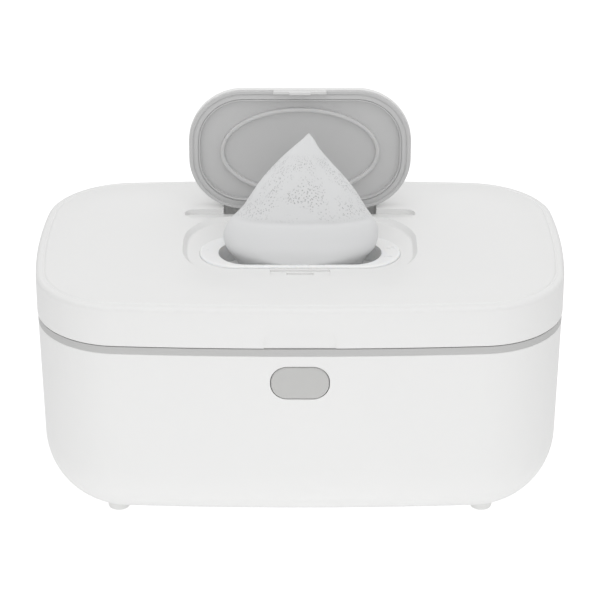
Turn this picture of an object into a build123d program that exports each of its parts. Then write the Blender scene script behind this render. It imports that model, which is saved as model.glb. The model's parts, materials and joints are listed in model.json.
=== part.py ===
from build123d import *
import math
import os

# A baby wipe warmer, in millimetres. +Z is up, +X is to the right as seen from the front,
# and the front faces -Y. The origin is on the table, under the middle of the body.
# It stands as photographed: main lid shut, flip cover open, one wipe pulled up.

# ---- body outline in plan: eight tangent arcs, each side bowed a little
body_width = 245.0
body_depth = 146.0
corner_radius = 40.3
front_bow = 5.6  # how far the front and the back stand out over the whole width
side_bow = 7.9

# ---- heights
foot_height = 4.2  # underside of the body above the table
base_height = 95.0  # underside to the rim of the base shell
band_height = 3.4  # the tub's rim that shows as a grey band
parting_gap = 0.4  # between the band and the lid
lid_wall_height = 19.0
crown_height = 2.5  # the lid's top above its edge
crown_border = 24.0  # width over which the lid's top rises

# ---- base shell
base_wall = 2.4
band_step = 0.3  # the base and the band stand this far inside the lid
wall_draft = 0.9  # degrees
bottom_radius = 37.0
rim_edge = 0.5
foot_radius = 5.15
foot_from_side = 36.3
foot_from_front = 37.4
foot_seat_depth = 4.5  # pocket in the underside that holds the foot
foot_edge = 1.0
boss_wall = 2.9

# ---- tub
tub_inset = 14.0
tub_wall = 1.8
tub_floor = 2.0
tub_lift = 33.8  # inside of the tub's floor above the underside of the base
tub_draft = 4.0
tub_corner = 14.0
tub_post_x = 62.0
tub_post_y = 30.0
tub_post_radius = 4.5
tub_boss_radius = 4.0
tub_boss_height = 6.0
tub_screw_radius = 1.5
tub_screw_head_radius = 3.0
tub_screw_head_height = 2.0
tub_screw_seat = 8.0  # depth of the screw's head pocket in the underside
tub_screw_bite = 4.5  # length of thread in the tub's boss

# ---- heater
spreader_width = 110.0
spreader_depth = 76.0
spreader_thickness = 1.2
film_margin = 3.0  # the film is this much smaller than the spreader all round
film_thickness = 0.4
foam_width = 80.0
foam_depth = 66.0
foam_thickness = 8.0
sensor_x = 47.5
sensor_length = 5.0
sensor_height = 2.2
sensor_depth = 3.4
fuse_radius = 1.8
fuse_length = 12.0

# ---- control board
board_width = 84.0
board_depth = 46.0
board_thickness = 1.6
board_post_height = 7.6  # above the inside of the base
board_post_radius = 3.0
board_hole_edge = 5.0  # screw hole centre to the board's edge
board_screw_radius = 1.1
board_screw_head_radius = 2.2
board_screw_head_height = 1.4
board_screw_bite = 5.5
chip_size = 10.0
chip_height = 1.4
capacitor_radius = 4.0
capacitor_height = 8.5
capacitor_spread = 12.0
capacitor_x = -14.0
header_length = 8.0
header_height = 5.0
header_row = 9.0  # the side headers stand this far from the board's middle line
button_header_x = 10.0
lead_exit_height = 2.8  # height of a lead's centre above the board

# ---- front button
button_width = 26.2
button_height = 16.0
button_corner = 7.4
button_drop = 13.7  # below the rim of the base shell
button_proud = 0.4
button_gap = 0.35
button_edge = 0.8
button_lip = 1.2  # the lip behind the wall is this much larger all round
button_lip_thickness = 1.0
button_lip_gap = 0.3  # lip to the wall's inside at the lip's lower edge
button_travel = 0.8
plunger_radius = 1.7
plunger_gap = 0.2
plunger_length = 2.7
plunger_entry = 0.1  # the plunger stands this far in the switch at rest
switch_size = 6.0
switch_thickness = 3.0
button_board_width = 44.0
button_board_height = 12.0
button_board_thickness = 1.2
stake_x = 18.0
stake_post_radius = 2.6
stake_radius = 1.0
stake_proud = 0.2
led_x = 9.0
led_width = 3.0
led_height = 1.6
led_thickness = 1.2

# ---- power inlet, at the back
jack_x = 60.0
jack_z = 24.0
jack_seat_from_back = 13.0
jack_recess_radius = 7.0
jack_wall = 2.6
jack_flange_radius = 6.2
jack_flange_thickness = 1.5
jack_barrel_radius = 4.9
jack_barrel_length = 11.8
jack_bore_radius = 2.8
jack_bore_depth = 9.5
jack_pin_radius = 1.05
jack_pin_recess = 1.0  # the pin ends this far inside the mouth
jack_pin_root = 2.0
jack_pin_root_radius = 1.5
jack_nut_size = 12.0
jack_nut_thickness = 2.5

# ---- main hinge
hinge_x = 45.0
hinge_from_back = 2.0
hinge_drop = 3.2  # axis below the rim of the base shell
hinge_knuckle_radius = 2.3
hinge_pin_radius = 1.0
lid_knuckle_width = 12.0
base_knuckle_width = 7.0
hinge_side_gap = 0.3
hinge_recess_gap = 0.5  # knuckle to the recess's floor
hinge_recess_drop = 3.2  # recess below the axis
hinge_backing = 2.4

# ---- lid
lid_wall = 2.2
lid_edge_radius = 2.0
lid_foot_edge = 0.5
crease_inset = 3.8  # a shallow crease follows the lid's edge
crease_depth = 0.3
panel_inset = 3.0
panel_rise = 1.4  # inner panel above the lid's lower edge
panel_thickness = 2.0
lid_boss_radius = 3.2
lid_screw_from_side = 34.5
lid_screw_from_front = 31.0
lid_side_screw_from_side = 47.5
lid_screw_radius = 1.3
lid_screw_head_radius = 2.6
lid_screw_head_height = 1.6
lid_screw_bite = 7.6
gasket_inset = 6.1
gasket_width = 2.8
gasket_groove_depth = 0.8
gasket_gap = 0.3  # between the gasket and the band

# ---- dish, collar and throat in the lid's top
dish_width = 108.8
dish_length = 68.0
dish_corner = 28.6
dish_y = -8.0
dish_depth = 2.1
dish_slope = 2.0  # the dish narrows by this all round on the way down
dish_wall = 2.2
dish_edge = 1.0
opening_width = 75.5
opening_length = 26.6
opening_y = -14.6
collar_width = 93.0
collar_length = 33.6
collar_y = -13.2
collar_rise = 1.0  # above the dish's floor
collar_rebate = 0.4
collar_neck_wall = 1.6
collar_neck_height = 8.0
collar_edge = 0.9
throat_width = 60.0
throat_length = 20.0
throat_wall = 1.8
throat_seat = 2.6  # how far the throat reaches up round the collar's neck

# ---- finger scoop under the lid's front edge
scoop_width = 32.4
scoop_height = 8.7
scoop_corner = 5.0
scoop_depth = 0.8

# ---- flip cover, laid out along v (away from its hinge axis) and w (towards its inner side)
flip_axis_y = 27.45
flip_axis_drop = 7.25  # below the lid's top
flip_lean = 1.5  # degrees past upright when open
flip_width = 105.5
flip_length = 60.5
flip_corner = 26.1
flip_rear_v = 6.4  # hinge axis to the cover's rear edge
flip_rest_gap = 0.9  # closed rim to the dish's floor
flip_thickness = 7.0
flip_wall = 2.1
flip_edge = 3.5
flip_flange = 1.0  # the inner panel's flange lies on the shell's rim
flip_flange_inset = 0.3
flip_flange_edge = 0.35
flip_groove_inset = 1.85
flip_groove_width = 0.5
flip_groove_depth = 0.6
flip_border_drop = 0.5  # the border's outer side lies this far below its inner side
flip_line_inset = 4.3
flip_line_width = 0.45
flip_bead = 0.65
flip_bead_edge = 0.28
flip_field_recess = 2.2
seal_width = 75.8
seal_length = 44.2
seal_shift = 1.0  # towards the hinge, from the cover's middle
seal_band = 2.0
seal_height = 1.8
seal_edge = 0.85
latch_width = 25.0
latch_edge_gap = 0.35  # white edge left above the tab
latch_thickness = 1.3
latch_root_drop = 1.0  # the tab's root starts this far inside the cover's front edge
latch_root_side = 1.0  # and is this much narrower at each side
latch_proud = 0.8
latch_depth = 3.0
latch_nib_width = 10.0
latch_nib_height = 1.2
latch_nib_thickness = 1.1
catch_width = 27.6
catch_near_y = -31.3
catch_depth = 1.0
catch_slot_width = 12.4
catch_slot_near_y = -32.8
catch_slot_depth = 0.7
catch_room = 0.5  # free space ahead of the latch when closed

# ---- flip cover's hinge
arm_inner_x = 16.0
arm_width = 9.0
arm_radius = 2.6
arm_gooseneck = 11.2  # from the axis to the arm's outer side
arm_reach = 8.0
arm_foot = 7.3  # from the axis to the underside of the arm's reach
arm_cut = 2.4
flip_pin_radius = 1.25
flip_pin_grip = 2.5  # length of pin in the well's side wall
web_thickness = 1.5
well_front_y = 24.0
well_step_y = 31.8
well_back_y = 41.6
well_inner_half = 27.5
well_outer_half = 36.6
well_floor_drop = 4.75  # below the axis
well_wall = 1.8
trough_width = 110.0
trough_length = 9.6
trough_back_y = 31.8
trough_depth = 2.6  # at its back, rising to nothing at its front

# ---- fits
slip = 0.05  # radial clearance of a turning pin
snug = 0.03  # radial clearance of a fixed pin or screw
part_gap = 0.2  # round pieces that are laid in place
soft_gap = 0.3  # round soft pieces

# ---- wipes
stack_side_room = 59.0  # body width less the stack's width
stack_front_room = 48.0
stack_headroom = 17.4
stack_corner = 12.0
stack_edge = 6.0
stack_bottom_edge = 11.0
wipe_tail_gap = 0.5
wipe_peak_rise = 54.0  # above the lid's top
wipe_peak_x = 4.5
wipe_belly_rise = 3.5  # the folded lower part, just above the collar
wipe_belly_half = 36.0
wipe_belly_bulge = 10.0

# ---- leads held inside
power_lead_diameter = 1.8
heater_lead_diameter = 1.6
sensor_lead_diameter = 1.2
button_lead_diameter = 1.2

# ---- places worked out from the sizes above
front_radius = (body_width / 2) ** 2 / (2 * front_bow)
side_radius = (body_depth / 2) ** 2 / (2 * side_bow)
front_centre_y = body_depth / 2 - front_radius
side_centre_x = body_width / 2 - side_radius
draft_slope = math.tan(math.radians(wall_draft))

underside_z = foot_height
rim_z = underside_z + base_height
band_top_z = rim_z + band_height
lid_bottom_z = band_top_z + parting_gap
lid_edge_z = lid_bottom_z + lid_wall_height
lid_top_z = lid_edge_z + crown_height
base_floor_z = underside_z + base_wall
tub_floor_z = underside_z + tub_lift
tub_depth = band_top_z - tub_floor_z
tub_bottom_z = tub_floor_z - tub_floor
tub_seat_z = tub_bottom_z - tub_boss_height
spreader_z = tub_bottom_z - spreader_thickness
film_z = spreader_z - film_thickness
board_z = base_floor_z + board_post_height
board_top_z = board_z + board_thickness
lead_exit_z = board_top_z + lead_exit_height
dish_floor_z = lid_top_z - dish_depth
collar_top_z = dish_floor_z + collar_rise
collar_seat_z = dish_floor_z - collar_rebate
panel_z = lid_bottom_z + panel_rise
panel_top_z = panel_z + panel_thickness
flip_axis_z = lid_top_z - flip_axis_drop
well_floor_z = flip_axis_z - well_floor_drop
button_z = rim_z - button_drop
hinge_axis_y = body_depth / 2 - hinge_from_back
hinge_axis_z = rim_z - hinge_drop
jack_seat_y = body_depth / 2 - jack_seat_from_back
foot_spread_x = body_width / 2 - foot_from_side
foot_spread_y = body_depth / 2 - foot_from_front
lid_screw_corner_x = body_width / 2 - lid_screw_from_side
lid_screw_corner_y = body_depth / 2 - lid_screw_from_front
lid_screw_side_x = body_width / 2 - lid_side_screw_from_side
stack_width = body_width - stack_side_room
stack_depth = body_depth - stack_front_room
stack_height = tub_depth - stack_headroom

os.makedirs("parts", exist_ok=True)


def arc_meeting_points():
    # where the corner arc meets the front arc and the side arc: its centre and the two bearings
    front_reach = front_radius - corner_radius
    side_reach = side_radius - corner_radius
    apart = math.hypot(side_centre_x, front_centre_y)
    along = (front_reach**2 - side_reach**2 + apart**2) / (2 * apart)
    aside = math.sqrt(front_reach**2 - along**2)
    unit_x = side_centre_x / apart
    unit_y = -front_centre_y / apart
    centre_x = along * unit_x + aside * unit_y
    centre_y = front_centre_y + along * unit_y - aside * unit_x
    front_bearing = math.atan2(centre_y - front_centre_y, centre_x)
    side_bearing = math.atan2(centre_y, centre_x - side_centre_x)
    return centre_x, centre_y, front_bearing, side_bearing


def body_outline(inset):
    # the plan outline, drawn in by inset about the same arc centres
    centre_x, centre_y, front_bearing, side_bearing = arc_meeting_points()
    front_x = (front_radius - inset) * math.cos(front_bearing)
    front_y = front_centre_y + (front_radius - inset) * math.sin(front_bearing)
    side_x = side_centre_x + (side_radius - inset) * math.cos(side_bearing)
    side_y = (side_radius - inset) * math.sin(side_bearing)
    middle = (front_bearing + side_bearing) / 2
    corner_x = centre_x + (corner_radius - inset) * math.cos(middle)
    corner_y = centre_y + (corner_radius - inset) * math.sin(middle)
    with BuildSketch() as outline:
        with BuildLine():
            for x in (1, -1):
                side_middle = (x * (body_width / 2 - inset), 0)
                ThreePointArc((x * side_x, side_y), side_middle, (x * side_x, -side_y))
                for y in (1, -1):
                    corner_middle = (x * corner_x, y * corner_y)
                    ThreePointArc((x * front_x, y * front_y), corner_middle, (x * side_x, y * side_y))
            for y in (1, -1):
                front_middle = (0, y * (body_depth / 2 - inset))
                ThreePointArc((-front_x, y * front_y), front_middle, (front_x, y * front_y))
        make_face()
    return outline.sketch


def stadium(width, length, centre_y):
    # a slot outline with round ends, centred at x = 0
    with BuildSketch() as outline:
        with Locations((0, centre_y)):
            SlotOverall(width, length)
    return outline.sketch


def save(piece, name):
    piece.part.label = name
    export_step(piece.part, "parts/" + name + ".step")


corner_pairs = [(x, y) for x in (-1, 1) for y in (-1, 1)]
foot_places = [(x * foot_spread_x, y * foot_spread_y) for x, y in corner_pairs]
tub_post_places = [(x * tub_post_x, y * tub_post_y) for x, y in corner_pairs]
board_post_x = board_width / 2 - board_hole_edge
board_post_y = board_depth / 2 - board_hole_edge
board_post_places = [(x * board_post_x, y * board_post_y) for x, y in corner_pairs]

# ---- places of the hinge, the inlet and the button
hinge_recess_half = lid_knuckle_width / 2 + hinge_side_gap + base_knuckle_width
hinge_recess_y = hinge_axis_y - hinge_knuckle_radius - hinge_recess_gap
hinge_recess_z = hinge_axis_z - hinge_recess_drop
jack_boss_y = jack_seat_y - jack_wall


def front_wall_y(z, depth):
    # y of a surface that lies depth inside the front of the base shell, at height z
    return -(body_depth / 2 - band_step - depth - (rim_z - z) * draft_slope)


button_lip_low_z = button_z - button_height / 2 - button_lip
button_lip_front_y = front_wall_y(button_lip_low_z, base_wall) + button_lip_gap
button_back_y = button_lip_front_y + button_lip_thickness
switch_front_y = button_back_y + plunger_length - plunger_entry
button_board_y = switch_front_y + switch_thickness
button_board_back_y = button_board_y + button_board_thickness

# ---- base shell
with BuildPart() as base_form:
    with BuildSketch(Plane.XY.offset(rim_z)):
        add(body_outline(band_step))
    extrude(amount=-base_height, taper=wall_draft)
    fillet(base_form.edges().group_by(Axis.Z)[0], radius=bottom_radius)
    fillet(base_form.edges().group_by(Axis.Z)[-1], radius=rim_edge)

# the hollow of the base shell, less the bosses, posts and blocks that stand in it
with BuildPart() as base_hollow:
    with BuildSketch(Plane.XY.offset(rim_z)):
        add(body_outline(band_step + base_wall))
    extrude(amount=base_wall - base_height, taper=wall_draft)
    fillet(base_hollow.edges().group_by(Axis.Z)[0], radius=bottom_radius - base_wall)
    with BuildSketch():
        with Locations(*foot_places):
            Circle(foot_radius + boss_wall)
    extrude(amount=underside_z + foot_seat_depth + base_wall, mode=Mode.SUBTRACT)
    with BuildSketch():
        with Locations(*tub_post_places):
            Circle(tub_post_radius)
    extrude(amount=tub_seat_z, mode=Mode.SUBTRACT)
    with BuildSketch():
        with Locations(*board_post_places):
            Circle(board_post_radius)
    extrude(amount=board_z, mode=Mode.SUBTRACT)
    with BuildSketch(Plane.XY.offset(rim_z)):
        for side in (-1, 1):
            with Locations((side * hinge_x, hinge_recess_y - hinge_backing)):
                Rectangle(2 * (hinge_recess_half + hinge_backing), body_depth, align=(Align.CENTER, Align.MIN))
    extrude(amount=-(rim_z - hinge_recess_z + hinge_backing), mode=Mode.SUBTRACT)
    with BuildSketch(Plane.XZ.offset(-jack_boss_y)):
        with Locations((jack_x, jack_z)):
            Circle(jack_recess_radius + jack_wall)
    extrude(amount=-body_depth, mode=Mode.SUBTRACT)
    with BuildSketch(Plane.XZ.offset(-button_board_y)):
        with Locations((-stake_x, button_z), (stake_x, button_z)):
            Circle(stake_post_radius)
    extrude(amount=body_depth, mode=Mode.SUBTRACT)

with BuildPart() as base_shell:
    add(base_form.part)
    add(base_hollow.part, mode=Mode.SUBTRACT)
    # pockets for the feet and for the heads of the tub's screws
    with BuildSketch(Plane.XY.offset(underside_z + foot_seat_depth)):
        with Locations(*foot_places):
            Circle(foot_radius + part_gap / 2)
    extrude(amount=-body_depth, mode=Mode.SUBTRACT)
    with BuildSketch(Plane.XY.offset(underside_z + tub_screw_seat)):
        with Locations(*tub_post_places):
            Circle(tub_screw_head_radius + part_gap)
    extrude(amount=-tub_screw_seat, mode=Mode.SUBTRACT)
    with BuildSketch(Plane.XY.offset(tub_seat_z)):
        with Locations(*tub_post_places):
            Circle(tub_screw_radius + part_gap)
    extrude(amount=-tub_seat_z, mode=Mode.SUBTRACT)
    with BuildSketch(Plane.XY.offset(board_z)):
        with Locations(*board_post_places):
            Circle(board_screw_radius + snug)
    extrude(amount=-board_screw_bite - part_gap, mode=Mode.SUBTRACT)
    # the button's hole, and the stakes that hold the button board
    with BuildSketch(Plane.XZ.offset(body_depth / 2 - 2 * base_wall)):
        with Locations((0, button_z)):
            hole_corner = button_corner + button_gap
            RectangleRounded(button_width + 2 * button_gap, button_height + 2 * button_gap, hole_corner)
    extrude(amount=body_depth, mode=Mode.SUBTRACT)
    with BuildSketch(Plane.XZ.offset(-button_board_y)):
        with Locations((-stake_x, button_z), (stake_x, button_z)):
            Circle(stake_radius)
    extrude(amount=-(button_board_thickness + stake_proud))
    # the inlet's recess and hole
    with BuildSketch(Plane.XZ.offset(-jack_seat_y)):
        with Locations((jack_x, jack_z)):
            Circle(jack_recess_radius)
    extrude(amount=-body_depth, mode=Mode.SUBTRACT)
    with BuildSketch(Plane.XZ.offset(-jack_boss_y)):
        with Locations((jack_x, jack_z)):
            Circle(jack_barrel_radius + part_gap / 2)
    extrude(amount=-jack_wall, mode=Mode.SUBTRACT)
    # the hinge's recesses, with the outer knuckles in them
    with BuildSketch(Plane.XY.offset(hinge_recess_z)):
        for side in (-1, 1):
            with Locations((side * hinge_x, hinge_recess_y)):
                Rectangle(2 * hinge_recess_half, body_depth, align=(Align.CENTER, Align.MIN))
    extrude(amount=body_depth, mode=Mode.SUBTRACT)
    for side in (-1, 1):
        for end in (-1, 1):
            knuckle_start = side * hinge_x + end * (lid_knuckle_width / 2 + hinge_side_gap)
            with BuildSketch(Plane.YZ.offset(knuckle_start)):
                with Locations((hinge_axis_y, hinge_axis_z)):
                    Circle(hinge_knuckle_radius)
                with Locations((hinge_recess_y, hinge_recess_z)):
                    Rectangle(
                        hinge_axis_y - hinge_recess_y,
                        hinge_recess_drop,
                        align=(Align.MIN, Align.MIN),
                    )
            extrude(amount=end * base_knuckle_width)
    with BuildSketch(Plane.YZ.offset(-hinge_x - hinge_recess_half)):
        with Locations((hinge_axis_y, hinge_axis_z)):
            Circle(hinge_pin_radius + snug)
    extrude(amount=2 * hinge_recess_half, mode=Mode.SUBTRACT)
    with BuildSketch(Plane.YZ.offset(hinge_x - hinge_recess_half)):
        with Locations((hinge_axis_y, hinge_axis_z)):
            Circle(hinge_pin_radius + snug)
    extrude(amount=2 * hinge_recess_half, mode=Mode.SUBTRACT)
save(base_shell, "base_shell")

# ---- feet
foot_names = ["foot_front_left", "foot_back_left", "foot_front_right", "foot_back_right"]
for foot_name, foot_place in zip(foot_names, foot_places):
    with BuildPart() as foot:
        with BuildSketch():
            with Locations(foot_place):
                Circle(foot_radius)
        extrude(amount=underside_z + foot_seat_depth)
        fillet(foot.edges().group_by(Axis.Z)[0], radius=foot_edge)
    save(foot, foot_name)

# ---- inner tub, whose rim is the grey band
with BuildPart() as inner_tub:
    with BuildSketch(Plane.XY.offset(band_top_z)):
        add(body_outline(tub_inset))
    extrude(amount=-(tub_depth + tub_floor), taper=tub_draft)
    fillet(inner_tub.edges().group_by(Axis.Z)[0], radius=tub_corner)
    with BuildSketch(Plane.XY.offset(rim_z)):
        add(body_outline(band_step))
    extrude(amount=band_height)
    with BuildSketch(Plane.XY.offset(tub_seat_z)):
        with Locations(*tub_post_places):
            Circle(tub_boss_radius)
    extrude(amount=tub_boss_height + tub_floor / 2)
    with BuildPart(mode=Mode.PRIVATE) as tub_hollow:
        with BuildSketch(Plane.XY.offset(band_top_z)):
            add(body_outline(tub_inset + tub_wall))
        extrude(amount=-tub_depth, taper=tub_draft)
        fillet(tub_hollow.edges().group_by(Axis.Z)[0], radius=tub_corner - tub_wall)
    add(tub_hollow.part, mode=Mode.SUBTRACT)
    with BuildSketch(Plane.XY.offset(tub_seat_z)):
        with Locations(*tub_post_places):
            Circle(tub_screw_radius + snug)
    extrude(amount=tub_screw_bite + part_gap, mode=Mode.SUBTRACT)
    with BuildSketch(Plane.XY.offset(rim_z)):
        for side in (-1, 1):
            with Locations((side * hinge_x, hinge_recess_y)):
                Rectangle(2 * hinge_recess_half, body_depth, align=(Align.CENTER, Align.MIN))
    extrude(amount=band_height, mode=Mode.SUBTRACT)
save(inner_tub, "inner_tub")

with BuildPart() as tub_screws:
    with BuildSketch(Plane.XY.offset(underside_z + tub_screw_seat)):
        with Locations(*tub_post_places):
            Circle(tub_screw_head_radius)
    extrude(amount=-tub_screw_head_height)
    with BuildSketch(Plane.XY.offset(underside_z + tub_screw_seat)):
        with Locations(*tub_post_places):
            Circle(tub_screw_radius)
    extrude(amount=tub_seat_z + tub_screw_bite - underside_z - tub_screw_seat)
save(tub_screws, "tub_screws")

# ---- heater under the tub's floor
with BuildPart() as heat_spreader:
    with BuildSketch(Plane.XY.offset(spreader_z)):
        RectangleRounded(spreader_width, spreader_depth, film_margin)
    extrude(amount=spreader_thickness)
save(heat_spreader, "heat_spreader")

with BuildPart() as heater_film:
    with BuildSketch(Plane.XY.offset(film_z)):
        RectangleRounded(
            spreader_width - 2 * film_margin,
            spreader_depth - 2 * film_margin,
            film_margin,
        )
    extrude(amount=film_thickness)
save(heater_film, "heater_film")

with BuildPart() as insulation_foam:
    with BuildSketch(Plane.XY.offset(film_z - soft_gap)):
        RectangleRounded(foam_width, foam_depth, film_margin)
    extrude(amount=-foam_thickness)
save(insulation_foam, "insulation_foam")

with BuildPart() as temperature_sensor:
    with BuildSketch(Plane.XY.offset(film_z)):
        with Locations((sensor_x, 0)):
            RectangleRounded(sensor_length, sensor_depth, sensor_depth / 4)
    extrude(amount=-sensor_height)
save(temperature_sensor, "temperature_sensor")

with BuildPart() as thermal_fuse:
    with BuildSketch(Plane.XZ.offset(-fuse_length / 2)):
        with Locations((-sensor_x, film_z - fuse_radius)):
            Circle(fuse_radius)
    extrude(amount=fuse_length)
save(thermal_fuse, "thermal_fuse")

# ---- control board on its posts
with BuildPart() as control_board:
    with BuildSketch(Plane.XY.offset(board_z)):
        Rectangle(board_width, board_depth)
        with Locations(*board_post_places):
            Circle(board_screw_radius + part_gap, mode=Mode.SUBTRACT)
    extrude(amount=board_thickness)
save(control_board, "control_board")

with BuildPart() as board_screws:
    with BuildSketch(Plane.XY.offset(board_top_z)):
        with Locations(*board_post_places):
            Circle(board_screw_head_radius)
    extrude(amount=board_screw_head_height)
    with BuildSketch(Plane.XY.offset(board_top_z)):
        with Locations(*board_post_places):
            Circle(board_screw_radius)
    extrude(amount=-board_thickness - board_screw_bite)
save(board_screws, "board_screws")

with BuildPart() as board_chip:
    with BuildSketch(Plane.XY.offset(board_top_z)):
        Rectangle(chip_size, chip_size)
    extrude(amount=chip_height)
    chamfer(board_chip.edges().group_by(Axis.Z)[-1], length=chip_height / 5)
save(board_chip, "board_chip")

with BuildPart() as board_capacitors:
    with BuildSketch(Plane.XY.offset(board_top_z)):
        with Locations((capacitor_x, -capacitor_spread), (capacitor_x, capacitor_spread)):
            Circle(capacitor_radius)
    extrude(amount=capacitor_height)
    fillet(board_capacitors.edges().group_by(Axis.Z)[-1], radius=capacitor_radius / 8)
save(board_capacitors, "board_capacitors")

header_x = board_width / 2 - header_length / 2 + part_gap
button_header_y = -(board_depth / 2 - header_length / 2 + part_gap)
header_places = [
    (header_x, header_row),
    (header_x, -header_row),
    (-header_x, header_row),
    (button_header_x, button_header_y),
]
with BuildPart() as board_headers:
    with BuildSketch(Plane.XY.offset(board_top_z)):
        with Locations(*header_places):
            Rectangle(header_length, header_length)
    extrude(amount=header_height)
save(board_headers, "board_headers")

# ---- front button, its switch and its board
with BuildPart() as power_button:
    with BuildSketch(Plane.YZ.offset(-button_width)):
        with BuildLine():
            low_z = button_z - button_height
            high_z = button_z + button_height
            Polyline(
                (front_wall_y(low_z, -button_proud), low_z),
                (front_wall_y(high_z, -button_proud), high_z),
                (button_back_y, high_z),
                (button_back_y, low_z),
                close=True,
            )
        make_face()
    extrude(amount=2 * button_width)
    with BuildSketch(Plane.XZ.offset(-button_back_y)):
        with Locations((0, button_z)):
            RectangleRounded(button_width, button_height, button_corner)
    extrude(amount=body_depth, mode=Mode.INTERSECT)
    fillet(power_button.faces().sort_by(Axis.Y)[0].edges(), radius=button_edge)
    with BuildSketch(Plane.XZ.offset(-button_back_y)):
        with Locations((0, button_z)):
            lip_corner = button_corner + button_lip
            RectangleRounded(button_width + 2 * button_lip, button_height + 2 * button_lip, lip_corner)
    extrude(amount=button_lip_thickness)
save(power_button, "power_button")

with BuildPart() as switch_plunger:
    with BuildSketch(Plane.XZ.offset(-button_back_y)):
        with Locations((0, button_z)):
            Circle(plunger_radius)
    extrude(amount=-plunger_length)
save(switch_plunger, "switch_plunger")

with BuildPart() as tact_switch:
    with BuildSketch(Plane.XZ.offset(-switch_front_y)):
        with Locations((0, button_z)):
            Rectangle(switch_size, switch_size)
    extrude(amount=-switch_thickness)
    with BuildSketch(Plane.XZ.offset(-switch_front_y)):
        with Locations((0, button_z)):
            Circle(plunger_radius + plunger_gap)
    extrude(amount=-(plunger_entry + button_travel + plunger_gap), mode=Mode.SUBTRACT)
save(tact_switch, "tact_switch")

with BuildPart() as button_board:
    with BuildSketch(Plane.XZ.offset(-button_board_y)):
        with Locations((0, button_z)):
            Rectangle(button_board_width, button_board_height)
        with Locations((-stake_x, button_z), (stake_x, button_z)):
            Circle(stake_radius + part_gap / 2, mode=Mode.SUBTRACT)
    extrude(amount=-button_board_thickness)
save(button_board, "button_board")

with BuildPart() as status_led:
    with BuildSketch(Plane.XZ.offset(-button_board_y)):
        with Locations((led_x, button_z)):
            Rectangle(led_width, led_height)
    extrude(amount=led_thickness)
save(status_led, "status_led")

# ---- power inlet
jack_mouth_y = jack_seat_y + jack_flange_thickness
jack_back_y = jack_seat_y - jack_barrel_length
jack_bore_floor_y = jack_mouth_y - jack_bore_depth
with BuildPart() as dc_jack:
    with BuildSketch(Plane.XZ.offset(-jack_seat_y)):
        with Locations((jack_x, jack_z)):
            Circle(jack_flange_radius)
    extrude(amount=-jack_flange_thickness)
    with BuildSketch(Plane.XZ.offset(-jack_seat_y)):
        with Locations((jack_x, jack_z)):
            Circle(jack_barrel_radius)
    extrude(amount=jack_barrel_length)
    with BuildSketch(Plane.XZ.offset(-jack_mouth_y)):
        with Locations((jack_x, jack_z)):
            Circle(jack_bore_radius)
    extrude(amount=jack_bore_depth, mode=Mode.SUBTRACT)
    with BuildSketch(Plane.XZ.offset(-jack_bore_floor_y)):
        with Locations((jack_x, jack_z)):
            Circle(jack_pin_root_radius + snug)
    extrude(amount=jack_pin_root, mode=Mode.SUBTRACT)
save(dc_jack, "dc_jack")

with BuildPart() as dc_jack_pin:
    with BuildSketch(Plane.XZ.offset(-(jack_mouth_y - jack_pin_recess))):
        with Locations((jack_x, jack_z)):
            Circle(jack_pin_radius)
    extrude(amount=jack_bore_depth - jack_pin_recess)
    with BuildSketch(Plane.XZ.offset(-jack_bore_floor_y)):
        with Locations((jack_x, jack_z)):
            Circle(jack_pin_root_radius)
    extrude(amount=jack_pin_root)
save(dc_jack_pin, "dc_jack_pin")

with BuildPart() as dc_jack_nut:
    with BuildSketch(Plane.XZ.offset(-jack_boss_y)):
        with Locations((jack_x, jack_z)):
            RegularPolygon(jack_nut_size / 2, 6, major_radius=False)
            Circle(jack_barrel_radius + slip, mode=Mode.SUBTRACT)
    extrude(amount=jack_nut_thickness)
save(dc_jack_nut, "dc_jack_nut")


# ---- leads held inside: straight runs joined by arcs, each as large as its runs allow
def lead(points, diameter, name):
    vectors = [Vector(*point) for point in points]
    runs = [b - a for a, b in zip(vectors, vectors[1:])]
    radii = []
    for before, after in zip(runs, runs[1:]):
        half_turn = math.radians(before.get_angle(after)) / 2
        radii.append(0.45 * min(before.length, after.length) / math.tan(half_turn))
    with BuildPart() as tube:
        with BuildLine() as path:
            FilletPolyline(*points, radius=radii)
        with BuildSketch(Plane(origin=vectors[0], z_dir=runs[0])):
            Circle(diameter / 2)
        sweep(path=path.line)
    length = sum(edge.length for edge in path.line.edges())
    section = math.pi * (diameter / 2) ** 2
    print(name, "radii", [round(r, 1) for r in radii], "length", round(length, 1),
          "volume ratio", round(tube.part.volume / (section * length), 4))
    save(tube, name)


def part_way(start, end, share, aside):
    # a point between two others, moved aside along x
    x, y, z = [a + share * (b - a) for a, b in zip(start, end)]
    return (x + aside, y, z)


header_face_x = header_x + header_length / 2
power_turn = (jack_x, jack_back_y - 9, jack_z)
power_entry = (header_face_x + 11, header_row, lead_exit_z)
heater_entry = (-header_face_x - 9, header_row, lead_exit_z)
heater_turn = (-sensor_x, 22, film_z - 7.4)
sensor_turn = (sensor_x, 0, film_z - sensor_height - 5.5)
sensor_entry = (header_face_x + 8, -header_row, lead_exit_z)
button_start = (
    led_x + 3,
    button_board_y + button_board_thickness / 2,
    button_z - button_board_height / 2,
)
button_drop_z = button_start[2] - lead_exit_z
button_entry_y = button_header_y - header_length / 2 - 9.8
lead(
    [
        (jack_x, jack_back_y, jack_z),
        (jack_x, jack_back_y - 9, jack_z),
        part_way(power_turn, power_entry, 0.3, -5.5),
        part_way(power_turn, power_entry, 0.67, -4),
        (header_face_x + 11, header_row, lead_exit_z),
        (header_face_x, header_row, lead_exit_z),
    ],
    power_lead_diameter,
    "power_lead",
)
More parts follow.
